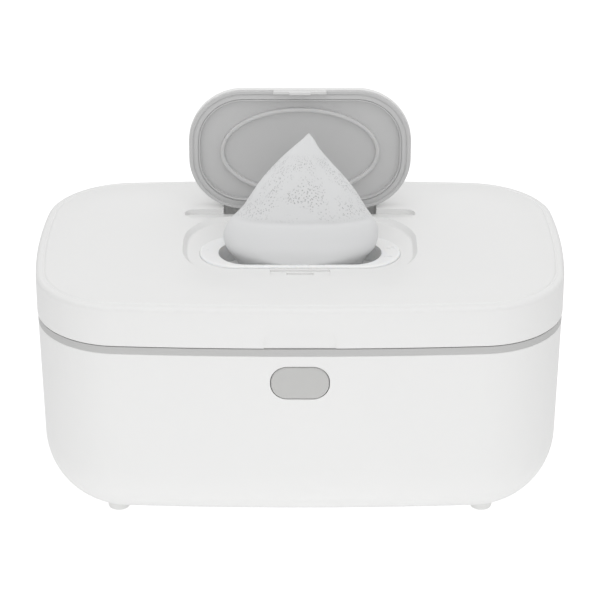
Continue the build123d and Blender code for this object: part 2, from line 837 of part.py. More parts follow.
lead(
    [
        (-header_face_x, header_row, lead_exit_z),
        (-header_face_x - 9, header_row, lead_exit_z),
        part_way(heater_entry, heater_turn, 0.37, -5.2),
        (-sensor_x, 22, film_z - 7.4),
        (-sensor_x, 22, film_z),
    ],
    heater_lead_diameter,
    "heater_lead",
)
lead(
    [
        (sensor_x, 0, film_z - sensor_height),
        (sensor_x, 0, film_z - sensor_height - 5.5),
        part_way(sensor_turn, sensor_entry, 0.3, 3.7),
        (header_face_x + 8, -header_row, lead_exit_z),
        (header_face_x, -header_row, lead_exit_z),
    ],
    sensor_lead_diameter,
    "sensor_lead",
)
lead(
    [
        button_start,
        (led_x + 3.5, button_start[1] - 0.7, button_start[2] - 0.28 * button_drop_z),
        (led_x + 3, button_start[1] + 1.2, button_start[2] - 0.6 * button_drop_z),
        (led_x + 3, (button_start[1] + button_entry_y) / 2, lead_exit_z + 8),
        (button_header_x, button_entry_y, lead_exit_z),
        (button_header_x, button_header_y - header_length / 2, lead_exit_z),
    ],
    button_lead_diameter,
    "button_lead",
)

# ---- wipes in the tub
stack_z = tub_floor_z + soft_gap
with BuildPart() as wipe_stack:
    with BuildSketch(Plane.XY.offset(stack_z)):
        RectangleRounded(stack_width, stack_depth, stack_corner)
    extrude(amount=stack_height)
    fillet(wipe_stack.edges().group_by(Axis.Z)[-1], radius=stack_edge)
    fillet(wipe_stack.edges().group_by(Axis.Z)[0], radius=stack_bottom_edge)
save(wipe_stack, "wipe_stack")

# ---- main hinge pins
for side, side_name in ((-1, "left"), (1, "right")):
    with BuildPart() as lid_hinge_pin:
        with BuildSketch(Plane.YZ.offset(side * hinge_x - hinge_recess_half + part_gap / 2)):
            with Locations((hinge_axis_y, hinge_axis_z)):
                Circle(hinge_pin_radius)
        extrude(amount=2 * hinge_recess_half - part_gap)
    save(lid_hinge_pin, "lid_hinge_pin_" + side_name)


def crown_rise(inset):
    # a quarter sine from the lid's edge to its flat top
    return crown_height * math.sin(inset / crown_border * math.pi / 2)


def crown_bands(wall, insets):
    # the lid's crown as lofted bands, wall below its outside
    levels = [(inset + wall, lid_edge_z - wall + crown_rise(inset)) for inset in insets]
    return list(zip(levels, levels[1:]))


outer_insets = [crown_border * step / 8 for step in range(9)]
inner_insets = [crown_border * step / 4 for step in range(5)]


# ---- lid shell
with BuildPart() as lid_form:
    with BuildSketch(Plane.XY.offset(lid_bottom_z)):
        add(body_outline(0))
    extrude(amount=lid_wall_height)
    for (low_inset, low_z), (high_inset, high_z) in crown_bands(0, outer_insets):
        with BuildSketch(Plane.XY.offset(low_z)):
            add(body_outline(low_inset))
        with BuildSketch(Plane.XY.offset(high_z)):
            add(body_outline(high_inset))
        loft(ruled=True)
    edge_ring = lid_form.edges().filter_by(lambda edge: abs(edge.center().Z - lid_edge_z) < 0.01)
    fillet(edge_ring, radius=lid_edge_radius)
    fillet(lid_form.edges().group_by(Axis.Z)[0], radius=lid_foot_edge)
    # crease round the crown: a slit whose sides slope
    crease_z = lid_edge_z + crown_rise(crease_inset)
    with BuildSketch(Plane.XY.offset(crease_z - crease_depth)):
        add(body_outline(crease_inset - crease_depth / 2))
        add(body_outline(crease_inset + crease_depth / 2), mode=Mode.SUBTRACT)
    extrude(amount=3 * crease_depth, taper=-60, mode=Mode.SUBTRACT)
    with BuildSketch(Plane.XY.offset(lid_top_z)):
        with Locations((0, dish_y)):
            RectangleRounded(dish_width, dish_length, dish_corner)
    extrude(amount=-dish_depth, taper=math.degrees(math.atan(dish_slope / dish_depth)), mode=Mode.SUBTRACT)
    dish_floor_face = lid_form.faces().filter_by(
        lambda face: abs(face.center().Z - dish_floor_z) < 0.01 and face.normal_at().Z > 0.99
    )
    fillet(dish_floor_face.edges(), radius=dish_edge)

# the hollow of the lid, less the pans of the dish and the trough, the well's block and the bosses
lid_screw_places = [(x * lid_screw_corner_x, y * lid_screw_corner_y) for x, y in corner_pairs]
lid_screw_places += [(-lid_screw_side_x, 0), (lid_screw_side_x, 0)]
with BuildPart() as lid_hollow:
    with BuildSketch(Plane.XY.offset(lid_bottom_z)):
        add(body_outline(lid_wall))
    extrude(amount=lid_wall_height - lid_wall)
    for (low_inset, low_z), (high_inset, high_z) in crown_bands(lid_wall, inner_insets):
        with BuildSketch(Plane.XY.offset(low_z)):
            add(body_outline(low_inset))
        with BuildSketch(Plane.XY.offset(high_z)):
            add(body_outline(high_inset))
        loft(ruled=True)
    with BuildSketch(Plane.XY.offset(dish_floor_z - dish_wall)):
        with Locations((0, dish_y)):
            RectangleRounded(
                dish_width + 2 * dish_wall,
                dish_length + 2 * dish_wall,
                dish_corner + dish_wall,
            )
    extrude(amount=dish_depth + dish_wall, mode=Mode.SUBTRACT)
    with BuildSketch(Plane.XY.offset(well_floor_z - well_wall)):
        with Locations((0, (well_front_y + well_back_y) / 2)):
            Rectangle(
                2 * (well_outer_half + well_wall),
                well_back_y - well_front_y + 2 * well_wall,
            )
    extrude(amount=lid_top_z - well_floor_z + well_wall, mode=Mode.SUBTRACT)
    with BuildSketch(Plane.XY.offset(lid_top_z - trough_depth - dish_wall)):
        with Locations((0, trough_back_y - trough_length / 2)):
            SlotOverall(trough_width + 2 * dish_wall, trough_length + 2 * dish_wall)
    extrude(amount=trough_depth + dish_wall, mode=Mode.SUBTRACT)
    with BuildSketch(Plane.XY.offset(panel_top_z)):
        with Locations(*lid_screw_places):
            Circle(lid_boss_radius)
    extrude(amount=lid_top_z - panel_top_z, mode=Mode.SUBTRACT)

with BuildPart() as lid_shell:
    add(lid_form.part)
    add(lid_hollow.part, mode=Mode.SUBTRACT)
    # trough and well behind the dish for the flip cover's hinge
    with BuildPart(mode=Mode.PRIVATE) as trough:
        with BuildSketch(Plane.XY.offset(lid_top_z - trough_depth)):
            with Locations((0, trough_back_y - trough_length / 2)):
                SlotOverall(trough_width, trough_length)
        extrude(amount=2 * trough_depth)
        with BuildSketch(Plane.YZ.offset(-trough_width / 2)):
            with BuildLine():
                Polyline(
                    (trough_back_y, lid_top_z - trough_depth),
                    (trough_back_y, lid_top_z + trough_depth),
                    (trough_back_y - trough_length, lid_top_z + trough_depth),
                    (trough_back_y - trough_length, lid_top_z),
                    close=True,
                )
            make_face()
        extrude(amount=trough_width, mode=Mode.INTERSECT)
    add(trough.part, mode=Mode.SUBTRACT)
    with BuildSketch(Plane.XY.offset(well_floor_z)):
        with Locations((0, well_back_y)):
            Rectangle(2 * well_inner_half, well_back_y - well_front_y, align=(Align.CENTER, Align.MAX))
            Rectangle(2 * well_outer_half, well_back_y - well_step_y, align=(Align.CENTER, Align.MAX))
    extrude(amount=lid_top_z - well_floor_z, mode=Mode.SUBTRACT)
    for side in (-1, 1):
        web_x = side * (arm_inner_x - hinge_side_gap - web_thickness / 2)
        with BuildSketch(Plane.XY.offset(well_floor_z)):
            with Locations((web_x, well_front_y)):
                Rectangle(
                    web_thickness,
                    flip_axis_y - well_front_y + arm_radius,
                    align=(Align.CENTER, Align.MIN),
                )
        extrude(amount=well_floor_drop + arm_radius)
        pin_start = side * (arm_inner_x - hinge_side_gap - web_thickness)
        with BuildSketch(Plane.YZ.offset(pin_start)):
            with Locations((flip_axis_y, flip_axis_z)):
                Circle(flip_pin_radius + snug)
        pin_reach = well_inner_half + flip_pin_grip + part_gap - abs(pin_start)
        extrude(amount=side * pin_reach, mode=Mode.SUBTRACT)
    # seat and hole for the collar
    with BuildSketch(Plane.XY.offset(collar_seat_z)):
        add(stadium(collar_width + 2 * part_gap, collar_length + 2 * part_gap, collar_y))
    extrude(amount=dish_depth, mode=Mode.SUBTRACT)
    with BuildSketch(Plane.XY.offset(dish_floor_z - 2 * dish_wall)):
        neck_growth = 2 * (collar_neck_wall + part_gap)
        add(stadium(opening_width + neck_growth, opening_length + neck_growth, opening_y))
    extrude(amount=2 * dish_wall, mode=Mode.SUBTRACT)
    # catch for the flip cover's latch
    latch_front_y = flip_axis_y - flip_rear_v - flip_length
    with BuildSketch(Plane.XY.offset(dish_floor_z - catch_depth)):
        with Locations((0, catch_near_y)):
            Rectangle(catch_width, catch_near_y - latch_front_y + catch_room, align=(Align.CENTER, Align.MAX))
    extrude(amount=catch_depth, mode=Mode.SUBTRACT)
    with BuildSketch(Plane.XY.offset(dish_floor_z - catch_depth - catch_slot_depth)):
        with Locations((0, catch_slot_near_y)):
            Rectangle(
                catch_slot_width,
                catch_slot_near_y - latch_front_y - catch_room / 2,
                align=(Align.CENTER, Align.MAX),
            )
    extrude(amount=catch_depth, mode=Mode.SUBTRACT)
    # finger scoop, open at the lid's lower edge
    with BuildSketch(Plane.XZ.offset(body_depth / 2 - scoop_depth)):
        with Locations((0, lid_bottom_z + scoop_height)):
            RectangleRounded(scoop_width, 2 * scoop_height, scoop_corner, align=(Align.CENTER, Align.MAX))
    extrude(amount=body_depth, mode=Mode.SUBTRACT)
    # screw pilots
    with BuildSketch(Plane.XY.offset(panel_top_z)):
        with Locations(*lid_screw_places):
            Circle(lid_screw_radius + snug)
    extrude(amount=lid_screw_bite + part_gap, mode=Mode.SUBTRACT)
    # hinge arms that hang from the back wall into the base's recesses
    for side in (-1, 1):
        with BuildSketch(Plane.YZ.offset(side * hinge_x - lid_knuckle_width / 2)):
            with Locations((hinge_axis_y, hinge_axis_z)):
                Circle(hinge_knuckle_radius)
                Rectangle(
                    2 * hinge_knuckle_radius,
                    panel_z - part_gap - hinge_axis_z,
                    align=(Align.CENTER, Align.MIN),
                )
                Circle(hinge_pin_radius + slip, mode=Mode.SUBTRACT)
        extrude(amount=lid_knuckle_width)
save(lid_shell, "lid_shell")

# ---- dispensing collar
with BuildPart() as dispensing_collar:
    with BuildSketch(Plane.XY.offset(collar_seat_z)):
        add(stadium(collar_width, collar_length, collar_y))
    extrude(amount=collar_top_z - collar_seat_z)
    fillet(dispensing_collar.edges().group_by(Axis.Z)[-1], radius=collar_edge)
    with BuildSketch(Plane.XY.offset(collar_seat_z)):
        neck_growth = 2 * collar_neck_wall
        add(stadium(opening_width + neck_growth, opening_length + neck_growth, opening_y))
    extrude(amount=-collar_neck_height)
    with BuildSketch(Plane.XY.offset(collar_seat_z - collar_neck_height)):
        add(stadium(opening_width, opening_length, opening_y))
    extrude(amount=body_depth, mode=Mode.SUBTRACT)
save(dispensing_collar, "dispensing_collar")

# ---- lid's inner panel with the throat that the wipes come up through
neck_bottom_z = collar_seat_z - collar_neck_height
funnel_top_z = neck_bottom_z - part_gap
with BuildPart() as lid_inner_panel:
    with BuildSketch(Plane.XY.offset(panel_z)):
        add(body_outline(panel_inset))
    extrude(amount=panel_thickness)
    with BuildSketch(Plane.XY.offset(panel_z)):
        sleeve_growth = 2 * (collar_neck_wall + part_gap + throat_wall)
        add(stadium(opening_width + sleeve_growth, opening_length + sleeve_growth, opening_y))
    extrude(amount=neck_bottom_z + throat_seat - panel_z)
    with BuildSketch(Plane.XY.offset(panel_z)):
        add(stadium(throat_width, throat_length, opening_y))
    with BuildSketch(Plane.XY.offset(funnel_top_z)):
        add(stadium(opening_width, opening_length, opening_y))
    loft(ruled=True, mode=Mode.SUBTRACT)
    with BuildSketch(Plane.XY.offset(funnel_top_z)):
        seat_growth = 2 * (collar_neck_wall + part_gap)
        add(stadium(opening_width + seat_growth, opening_length + seat_growth, opening_y))
    extrude(amount=body_depth, mode=Mode.SUBTRACT)
    with BuildSketch(Plane.XY.offset(panel_z)):
        add(body_outline(gasket_inset - part_gap / 2))
        add(body_outline(gasket_inset + gasket_width + part_gap / 2), mode=Mode.SUBTRACT)
    extrude(amount=gasket_groove_depth, mode=Mode.SUBTRACT)
    with BuildSketch(Plane.XY.offset(panel_z)):
        with Locations(*lid_screw_places):
            Circle(lid_screw_radius + part_gap)
    extrude(amount=panel_thickness, mode=Mode.SUBTRACT)
save(lid_inner_panel, "lid_inner_panel")

with BuildPart() as lid_gasket:
    with BuildSketch(Plane.XY.offset(band_top_z + gasket_gap)):
        add(body_outline(gasket_inset))
        add(body_outline(gasket_inset + gasket_width), mode=Mode.SUBTRACT)
    extrude(amount=panel_z + gasket_groove_depth - band_top_z - gasket_gap)
save(lid_gasket, "lid_gasket")

with BuildPart() as lid_panel_screws:
    with BuildSketch(Plane.XY.offset(panel_z)):
        with Locations(*lid_screw_places):
            Circle(lid_screw_head_radius)
    extrude(amount=-lid_screw_head_height)
    with BuildSketch(Plane.XY.offset(panel_z)):
        with Locations(*lid_screw_places):
            Circle(lid_screw_radius)
    extrude(amount=panel_thickness + lid_screw_bite)
save(lid_panel_screws, "lid_panel_screws")

# ---- flip cover, built on a plane through its hinge axis, in its open place
lean_sin = math.sin(math.radians(flip_lean))
lean_cos = math.cos(math.radians(flip_lean))
along_cover = (0, lean_sin, lean_cos)
cover_plane = Plane(
    origin=(0, flip_axis_y, flip_axis_z),
    x_dir=(1, 0, 0),
    z_dir=(0, -lean_cos, lean_sin),
)
rim_w = flip_axis_z - dish_floor_z - flip_rest_gap
outer_w = rim_w - flip_thickness
pan_w = outer_w + flip_wall
field_w = rim_w - flip_field_recess
cover_middle_v = flip_rear_v + flip_length / 2
cover_front_v = flip_rear_v + flip_length


def cover_outline(inset):
    with BuildSketch() as outline:
        with Locations((0, cover_middle_v)):
            RectangleRounded(flip_width - 2 * inset, flip_length - 2 * inset, flip_corner - inset)
    return outline.sketch


with BuildPart() as flip_cover_outer:
    with BuildSketch(cover_plane.offset(outer_w)):
        add(cover_outline(0))
    extrude(amount=flip_thickness - flip_flange)
    fillet(flip_cover_outer.faces().sort_by(Axis.Y)[-1].edges(), radius=flip_edge)
    with BuildSketch(cover_plane.offset(pan_w)):
        add(cover_outline(flip_wall))
    extrude(amount=flip_thickness, mode=Mode.SUBTRACT)
    # notch that holds the latch tab's root
    with BuildSketch(cover_plane.offset(rim_w - latch_depth)):
        with Locations((0, cover_front_v - latch_root_drop + part_gap / 2)):
            notch_width = latch_width - 2 * latch_root_side + 2 * part_gap
            Rectangle(notch_width, flip_wall, align=(Align.CENTER, Align.MAX))
    extrude(amount=latch_depth, mode=Mode.SUBTRACT)
    # two goosenecked arms to the hinge axis
    for side in (-1, 1):
        arm_start = side * arm_inner_x
        arm_plane = Plane(
            origin=(arm_start, flip_axis_y, flip_axis_z),
            x_dir=along_cover,
            z_dir=(1, 0, 0),
        )
        with BuildSketch(arm_plane):
            Circle(arm_radius)
            with BuildLine():
                Polyline(
                    (-arm_radius, 0),
                    (arm_radius, 0),
                    (arm_radius, -arm_foot),
                    (arm_reach, -arm_foot),
                    (arm_reach, -arm_gooseneck),
                    (arm_cut - arm_radius, -arm_gooseneck),
                    (-arm_radius, arm_cut - arm_gooseneck),
                    close=True,
                )
            make_face()
            Circle(flip_pin_radius + slip, mode=Mode.SUBTRACT)
        extrude(amount=side * arm_width)
save(flip_cover_outer, "flip_cover_outer")

with BuildPart() as flip_cover_inner:
    with BuildSketch(cover_plane.offset(rim_w - flip_flange)):
        add(cover_outline(flip_flange_inset))
    extrude(amount=flip_flange)
    fillet(flip_cover_inner.faces().sort_by(Axis.Y)[0].edges(), radius=flip_flange_edge)
    with BuildSketch(cover_plane.offset(pan_w)):
        add(cover_outline(flip_wall + part_gap))
    extrude(amount=rim_w - pan_w - flip_flange)
    # a groove, a border that slopes outwards, a second groove with a round bead inside it, and the field
    border_inset = flip_groove_inset + flip_groove_width
    border_lean = math.degrees(math.atan((flip_line_inset - border_inset) / flip_border_drop))
    bead_inset = flip_line_inset + flip_line_width
    with BuildSketch(cover_plane.offset(rim_w - flip_groove_depth)):
        add(cover_outline(flip_groove_inset))
        add(cover_outline(border_inset), mode=Mode.SUBTRACT)
    extrude(amount=flip_flange, mode=Mode.SUBTRACT)
    with BuildPart(mode=Mode.PRIVATE) as border_cut:
        with BuildSketch(cover_plane.offset(rim_w - flip_border_drop)):
            add(cover_outline(border_inset))
        extrude(amount=flip_border_drop)
        with BuildSketch(cover_plane.offset(rim_w - flip_border_drop)):
            add(cover_outline(border_inset))
        extrude(amount=flip_border_drop, taper=border_lean, mode=Mode.SUBTRACT)
    add(border_cut.part, mode=Mode.SUBTRACT)
    with BuildSketch(cover_plane.offset(rim_w - flip_groove_depth)):
        add(cover_outline(flip_line_inset))
    extrude(amount=flip_flange, mode=Mode.SUBTRACT)
    with BuildSketch(cover_plane.offset(field_w)):
        add(cover_outline(bead_inset + flip_bead))
    extrude(amount=flip_thickness, mode=Mode.SUBTRACT)
    with BuildPart(mode=Mode.PRIVATE) as bead:
        with BuildSketch(cover_plane.offset(field_w)):
            add(cover_outline(bead_inset))
            add(cover_outline(bead_inset + flip_bead), mode=Mode.SUBTRACT)
        extrude(amount=flip_field_recess)
        fillet(bead.faces().sort_by(Axis.Y)[0].edges(), radius=flip_bead_edge)
    add(bead.part)
    # room for the latch tab
    with BuildSketch(cover_plane.offset(rim_w - flip_flange)):
        with Locations((0, cover_front_v)):
            Rectangle(latch_width + 2 * part_gap, flip_wall, align=(Align.CENTER, Align.MAX))
    extrude(amount=flip_thickness, mode=Mode.SUBTRACT)
save(flip_cover_inner, "flip_cover_inner")

with BuildPart() as flip_seal:
    with BuildSketch(cover_plane.offset(field_w)):
        with Locations((0, cover_middle_v - seal_shift)):
            Ellipse(seal_width / 2, seal_length / 2)
            Ellipse(seal_width / 2 - seal_band, seal_length / 2 - seal_band, mode=Mode.SUBTRACT)
    extrude(amount=seal_height)
    fillet(flip_seal.faces().sort_by(Axis.Y)[0].edges(), radius=seal_edge)
save(flip_seal, "flip_seal")

with BuildPart() as flip_latch_tab:
    with BuildSketch(cover_plane.offset(rim_w - latch_depth)):
        with Locations((0, cover_front_v - latch_root_drop)):
            root_width = latch_width - 2 * latch_root_side
            Rectangle(root_width, flip_wall - latch_root_drop, align=(Align.CENTER, Align.MAX))
    extrude(amount=latch_depth - flip_flange)
    with BuildSketch(cover_plane.offset(rim_w - flip_flange)):
        with Locations((0, cover_front_v - latch_edge_gap)):
            Rectangle(latch_width, latch_thickness, align=(Align.CENTER, Align.MAX))
    extrude(amount=flip_flange + latch_proud)
    with BuildSketch(cover_plane.offset(rim_w + latch_proud)):
        with Locations((0, cover_front_v - latch_edge_gap - latch_thickness / 2)):
            Rectangle(latch_nib_width, latch_nib_thickness)
    extrude(amount=latch_nib_height)
save(flip_latch_tab, "flip_latch_tab")

for side, side_name in ((-1, "left"), (1, "right")):
    pin_start = side * (arm_inner_x - hinge_side_gap - web_thickness)
    with BuildPart() as flip_hinge_pin:
        with BuildSketch(Plane.YZ.offset(pin_start)):
            with Locations((flip_axis_y, flip_axis_z)):
                Circle(flip_pin_radius)
        extrude(amount=side * (well_inner_half + flip_pin_grip - abs(pin_start)))
    save(flip_hinge_pin, "flip_hinge_pin_" + side_name)

# ---- the wipe that stands up: flat leaf-shaped sections from its tail in the tub to its peak
tail_z = stack_z + stack_height + wipe_tail_gap
wipe_peak_z = lid_top_z + wipe_peak_rise
wipe_belly_z = lid_top_z + wipe_belly_rise


def wipe_section(z, middle_x, width_share, front_share, back_share):
    # the shares are of the belly's half width and of its bulge
    half_width = width_share * wipe_belly_half
    front_bulge = front_share * wipe_belly_bulge
    back_bulge = back_share * wipe_belly_bulge
    left = (middle_x - half_width, opening_y)
    right = (middle_x + half_width, opening_y)
    with BuildSketch(Plane.XY.offset(z)) as section:
        with BuildLine():
            ThreePointArc(left, (middle_x, opening_y - front_bulge), right)
            ThreePointArc(right, (middle_x, opening_y + back_bulge), left)
        make_face()
    return section.sketch


with BuildPart() as popup_wipe:
    wipe_rise = wipe_peak_z - wipe_belly_z
    sections = [
        wipe_section(tail_z, 0, 0.5, 0.15, 0.15),
        wipe_section(panel_z, 1, 0.55, 0.3, 0.3),
        wipe_section(funnel_top_z - 3, 2, 0.64, 0.5, 0.45),
        wipe_section(collar_top_z, 1.8, 0.94, 0.8, 0.5),
        wipe_section(wipe_belly_z, 1.3, 1, 1, 0.6),
        wipe_section(wipe_belly_z + 0.12 * wipe_rise, 1.4, 0.98, 0.9, 0.5),
        wipe_section(wipe_belly_z + 0.3 * wipe_rise, 1.6, 0.78, 0.7, 0.4),
        wipe_section(wipe_belly_z + 0.6 * wipe_rise, 2.2, 0.56, 0.5, 0.2),
        wipe_section(wipe_belly_z + 0.8 * wipe_rise, 1.5, 0.32, 0.35, 0.1),
        wipe_section(wipe_peak_z, wipe_peak_x, 0.03, 0.06, 0.03),
    ]
    loft(sections=sections, ruled=True)
save(popup_wipe, "popup_wipe")
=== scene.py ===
import json
import math

import bmesh
import bpy
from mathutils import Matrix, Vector, noise


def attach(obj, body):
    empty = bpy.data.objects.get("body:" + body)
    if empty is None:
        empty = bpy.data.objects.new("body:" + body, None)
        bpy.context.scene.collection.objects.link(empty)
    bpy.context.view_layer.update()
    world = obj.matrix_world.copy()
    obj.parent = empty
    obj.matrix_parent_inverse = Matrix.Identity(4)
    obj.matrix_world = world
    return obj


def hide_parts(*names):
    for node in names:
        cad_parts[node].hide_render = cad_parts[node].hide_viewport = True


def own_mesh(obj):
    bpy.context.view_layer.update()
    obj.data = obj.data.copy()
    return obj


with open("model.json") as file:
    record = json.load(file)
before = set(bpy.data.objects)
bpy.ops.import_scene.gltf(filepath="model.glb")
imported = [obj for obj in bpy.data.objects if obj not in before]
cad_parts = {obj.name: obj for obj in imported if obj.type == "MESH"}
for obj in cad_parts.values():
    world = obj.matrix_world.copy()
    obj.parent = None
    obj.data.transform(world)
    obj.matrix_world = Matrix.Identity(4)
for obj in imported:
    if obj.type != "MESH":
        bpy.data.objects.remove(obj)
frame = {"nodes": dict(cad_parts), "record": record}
scene = bpy.context.scene
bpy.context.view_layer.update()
mm = 0.001

cameraSettings = {
    "place": (0, -1.0799, 0.6206),
    "aim": (0, 0, 0.07583),
    "lens": 152.27,
    "shiftUp": 0.0497,
}

lampSettings = [
    # name, place, aim, width, height, watts
    ("overheadSoftbox", (0.0, -0.1, 1.5), (0, 0, 0.1), 1.5, 1.3, 6.1),
    ("frontSoftbox", (0.0, -1.8, 1.15), (0, 0, 0.08), 0.9, 1.1, 3.9),
    ("backSoftbox", (0.0, 1.5, 1.0), (0, 0, 0.1), 1.4, 0.8, 0.9),
]

roomSettings = {
    "ambient": 0.71,
    "ambientSide": 0.5,
    "floorSize": 9.0,
    "floorGlow": 0.92,
    "floorPaper": 0.3,
    # painted light: the next keys set a glow painted on the floor, seen only by light rays, strongest near its
    # middle in front of the product and fading further out
    "paintedBounceGlow": 0.48,
    "paintedBounceGlowRest": 0.12,
    "paintedBounceGlowMiddle": (0.0, -0.33, 0.0),
    "paintedBounceGlowNear": 0.08,
    "paintedBounceGlowFar": 0.55,
}


def aimAt(obj, target):
    direction = Vector(target) - obj.location
    obj.rotation_euler = direction.to_track_quat("-Z", "Y").to_euler()


def addCamera():
    data = bpy.data.cameras.new("photoCamera")
    data.lens = cameraSettings["lens"]
    data.sensor_width = 36
    data.shift_y = cameraSettings["shiftUp"]
    data.clip_start = 0.05
    data.clip_end = 30
    camera = bpy.data.objects.new("photoCamera", data)
    scene.collection.objects.link(camera)
    camera.location = cameraSettings["place"]
    aimAt(camera, cameraSettings["aim"])
    scene.camera = camera


def addLamps():
    for name, place, aim, width, height, watts in lampSettings:
        data = bpy.data.lights.new(name, "AREA")
        data.shape = "RECTANGLE"
        data.size = width
        data.size_y = height
        data.energy = watts
        lamp = bpy.data.objects.new(name, data)
        scene.collection.objects.link(lamp)
        lamp.location = place
        aimAt(lamp, aim)


def addWorld():
    world = bpy.data.worlds.new("room")
    scene.world = world
    world.use_nodes = True
    nodes, links = world.node_tree.nodes, world.node_tree.links
    nodes.clear()
    path = nodes.new("ShaderNodeLightPath")
    seen = nodes.new("ShaderNodeMath")
    seen.operation = "MAXIMUM"
    links.new(path.outputs["Is Camera Ray"], seen.inputs[0])
    links.new(path.outputs["Is Transmission Ray"], seen.inputs[1])
    ambient = nodes.new("ShaderNodeBackground")
    ambient.inputs["Color"].default_value = (1, 1, 1, 1)
    # the room is darker to the left and right than above and in front
    heading = nodes.new("ShaderNodeTexCoord")
    parts = nodes.new("ShaderNodeSeparateXYZ")
    links.new(heading.outputs["Generated"], parts.inputs[0])
    sideways = nodes.new("ShaderNodeMath")
    sideways.operation = "MULTIPLY"
    links.new(parts.outputs["X"], sideways.inputs[0])
    links.new(parts.outputs["X"], sideways.inputs[1])
    level = nodes.new("ShaderNodeMapRange")
    level.inputs["To Min"].default_value = roomSettings["ambient"]
    level.inputs["To Max"].default_value = roomSettings["ambientSide"]
    links.new(sideways.outputs[0], level.inputs["Value"])
    links.new(level.outputs[0], ambient.inputs["Strength"])
    paper = nodes.new("ShaderNodeBackground")
    paper.inputs["Color"].default_value = (1, 1, 1, 1)
    mix = nodes.new("ShaderNodeMixShader")
    out = nodes.new("ShaderNodeOutputWorld")
    links.new(seen.outputs[0], mix.inputs[0])
    links.new(ambient.outputs[0], mix.inputs[1])
    links.new(paper.outputs[0], mix.inputs[2])
    links.new(mix.outputs[0], out.inputs["Surface"])


def addFloor():
    half = roomSettings["floorSize"] / 2
    mesh = bpy.data.meshes.new("paperFloor")
    corners = [(-half, -half, 0), (half, -half, 0), (half, half, 0), (-half, half, 0)]
    mesh.from_pydata(corners, [], [(0, 1, 2, 3)])
    floor = bpy.data.objects.new("paperFloor", mesh)
    scene.collection.objects.link(floor)
    material = bpy.data.materials.new("floorPaper")
    material.use_nodes = True
    nodes, links = material.node_tree.nodes, material.node_tree.links
    nodes.clear()
    path = nodes.new("ShaderNodeLightPath")
    # painted light: on top of the paper's own diffuse bounce, a glow painted on the floor, seen only by light
    # rays and strongest just in front of the product, lights its front
    plain = nodes.new("ShaderNodeAddShader")
    paperSkin = nodes.new("ShaderNodeBsdfDiffuse")
    paperSkin.inputs["Color"].default_value = (0.8, 0.8, 0.8, 1)
    place = nodes.new("ShaderNodeTexCoord")
    away = nodes.new("ShaderNodeVectorMath")
    away.operation = "DISTANCE"
    away.inputs[1].default_value = roomSettings["paintedBounceGlowMiddle"]
    links.new(place.outputs["Object"], away.inputs[0])
    reach = nodes.new("ShaderNodeMapRange")
    reach.interpolation_type = "SMOOTHSTEP"
    reach.inputs["From Min"].default_value = roomSettings["paintedBounceGlowNear"]
    reach.inputs["From Max"].default_value = roomSettings["paintedBounceGlowFar"]
    reach.inputs["To Min"].default_value = roomSettings["paintedBounceGlow"]
    reach.inputs["To Max"].default_value = roomSettings["paintedBounceGlowRest"]
    links.new(away.outputs["Value"], reach.inputs["Value"])
    # painted light: the floor's glow for light rays, weaker further from its middle
    paintedBounceGlow = nodes.new("ShaderNodeEmission")
    links.new(reach.outputs[0], paintedBounceGlow.inputs["Strength"])
    links.new(paperSkin.outputs[0], plain.inputs[0])
    links.new(paintedBounceGlow.outputs[0], plain.inputs[1])
    shaded = nodes.new("ShaderNodeBsdfDiffuse")
    paper = roomSettings["floorPaper"]
    shaded.inputs["Color"].default_value = (paper, paper, paper, 1)
    glow = nodes.new("ShaderNodeEmission")
    glow.inputs["Strength"].default_value = roomSettings["floorGlow"]
    both = nodes.new("ShaderNodeAddShader")
    mix = nodes.new("ShaderNodeMixShader")
    out = nodes.new("ShaderNodeOutputMaterial")
    links.new(shaded.outputs[0], both.inputs[0])
    links.new(glow.outputs[0], both.inputs[1])
    links.new(path.outputs["Is Camera Ray"], mix.inputs[0])
    links.new(plain.outputs[0], mix.inputs[1])
    links.new(both.outputs[0], mix.inputs[2])
    links.new(mix.outputs[0], out.inputs["Surface"])
    mesh.materials.append(material)


addCamera()
addLamps()
addWorld()
addFloor()
scene.view_settings.view_transform = "Standard"
print("room ready")


def addSocket(tree, name, kind, way="INPUT", value=None):
    socket = tree.interface.new_socket(name=name, in_out=way, socket_type=kind)
    if value is not None:
        socket.default_value = value


def mathNode(nodes, links, operation, first, second, clamp=False):
    node = nodes.new("ShaderNodeMath")
    node.operation = operation
    node.use_clamp = clamp
    for index, value in enumerate((first, second)):
        if isinstance(value, (int, float)):
            node.inputs[index].default_value = value
        else:
            links.new(value, node.inputs[index])
    return node.outputs[0]


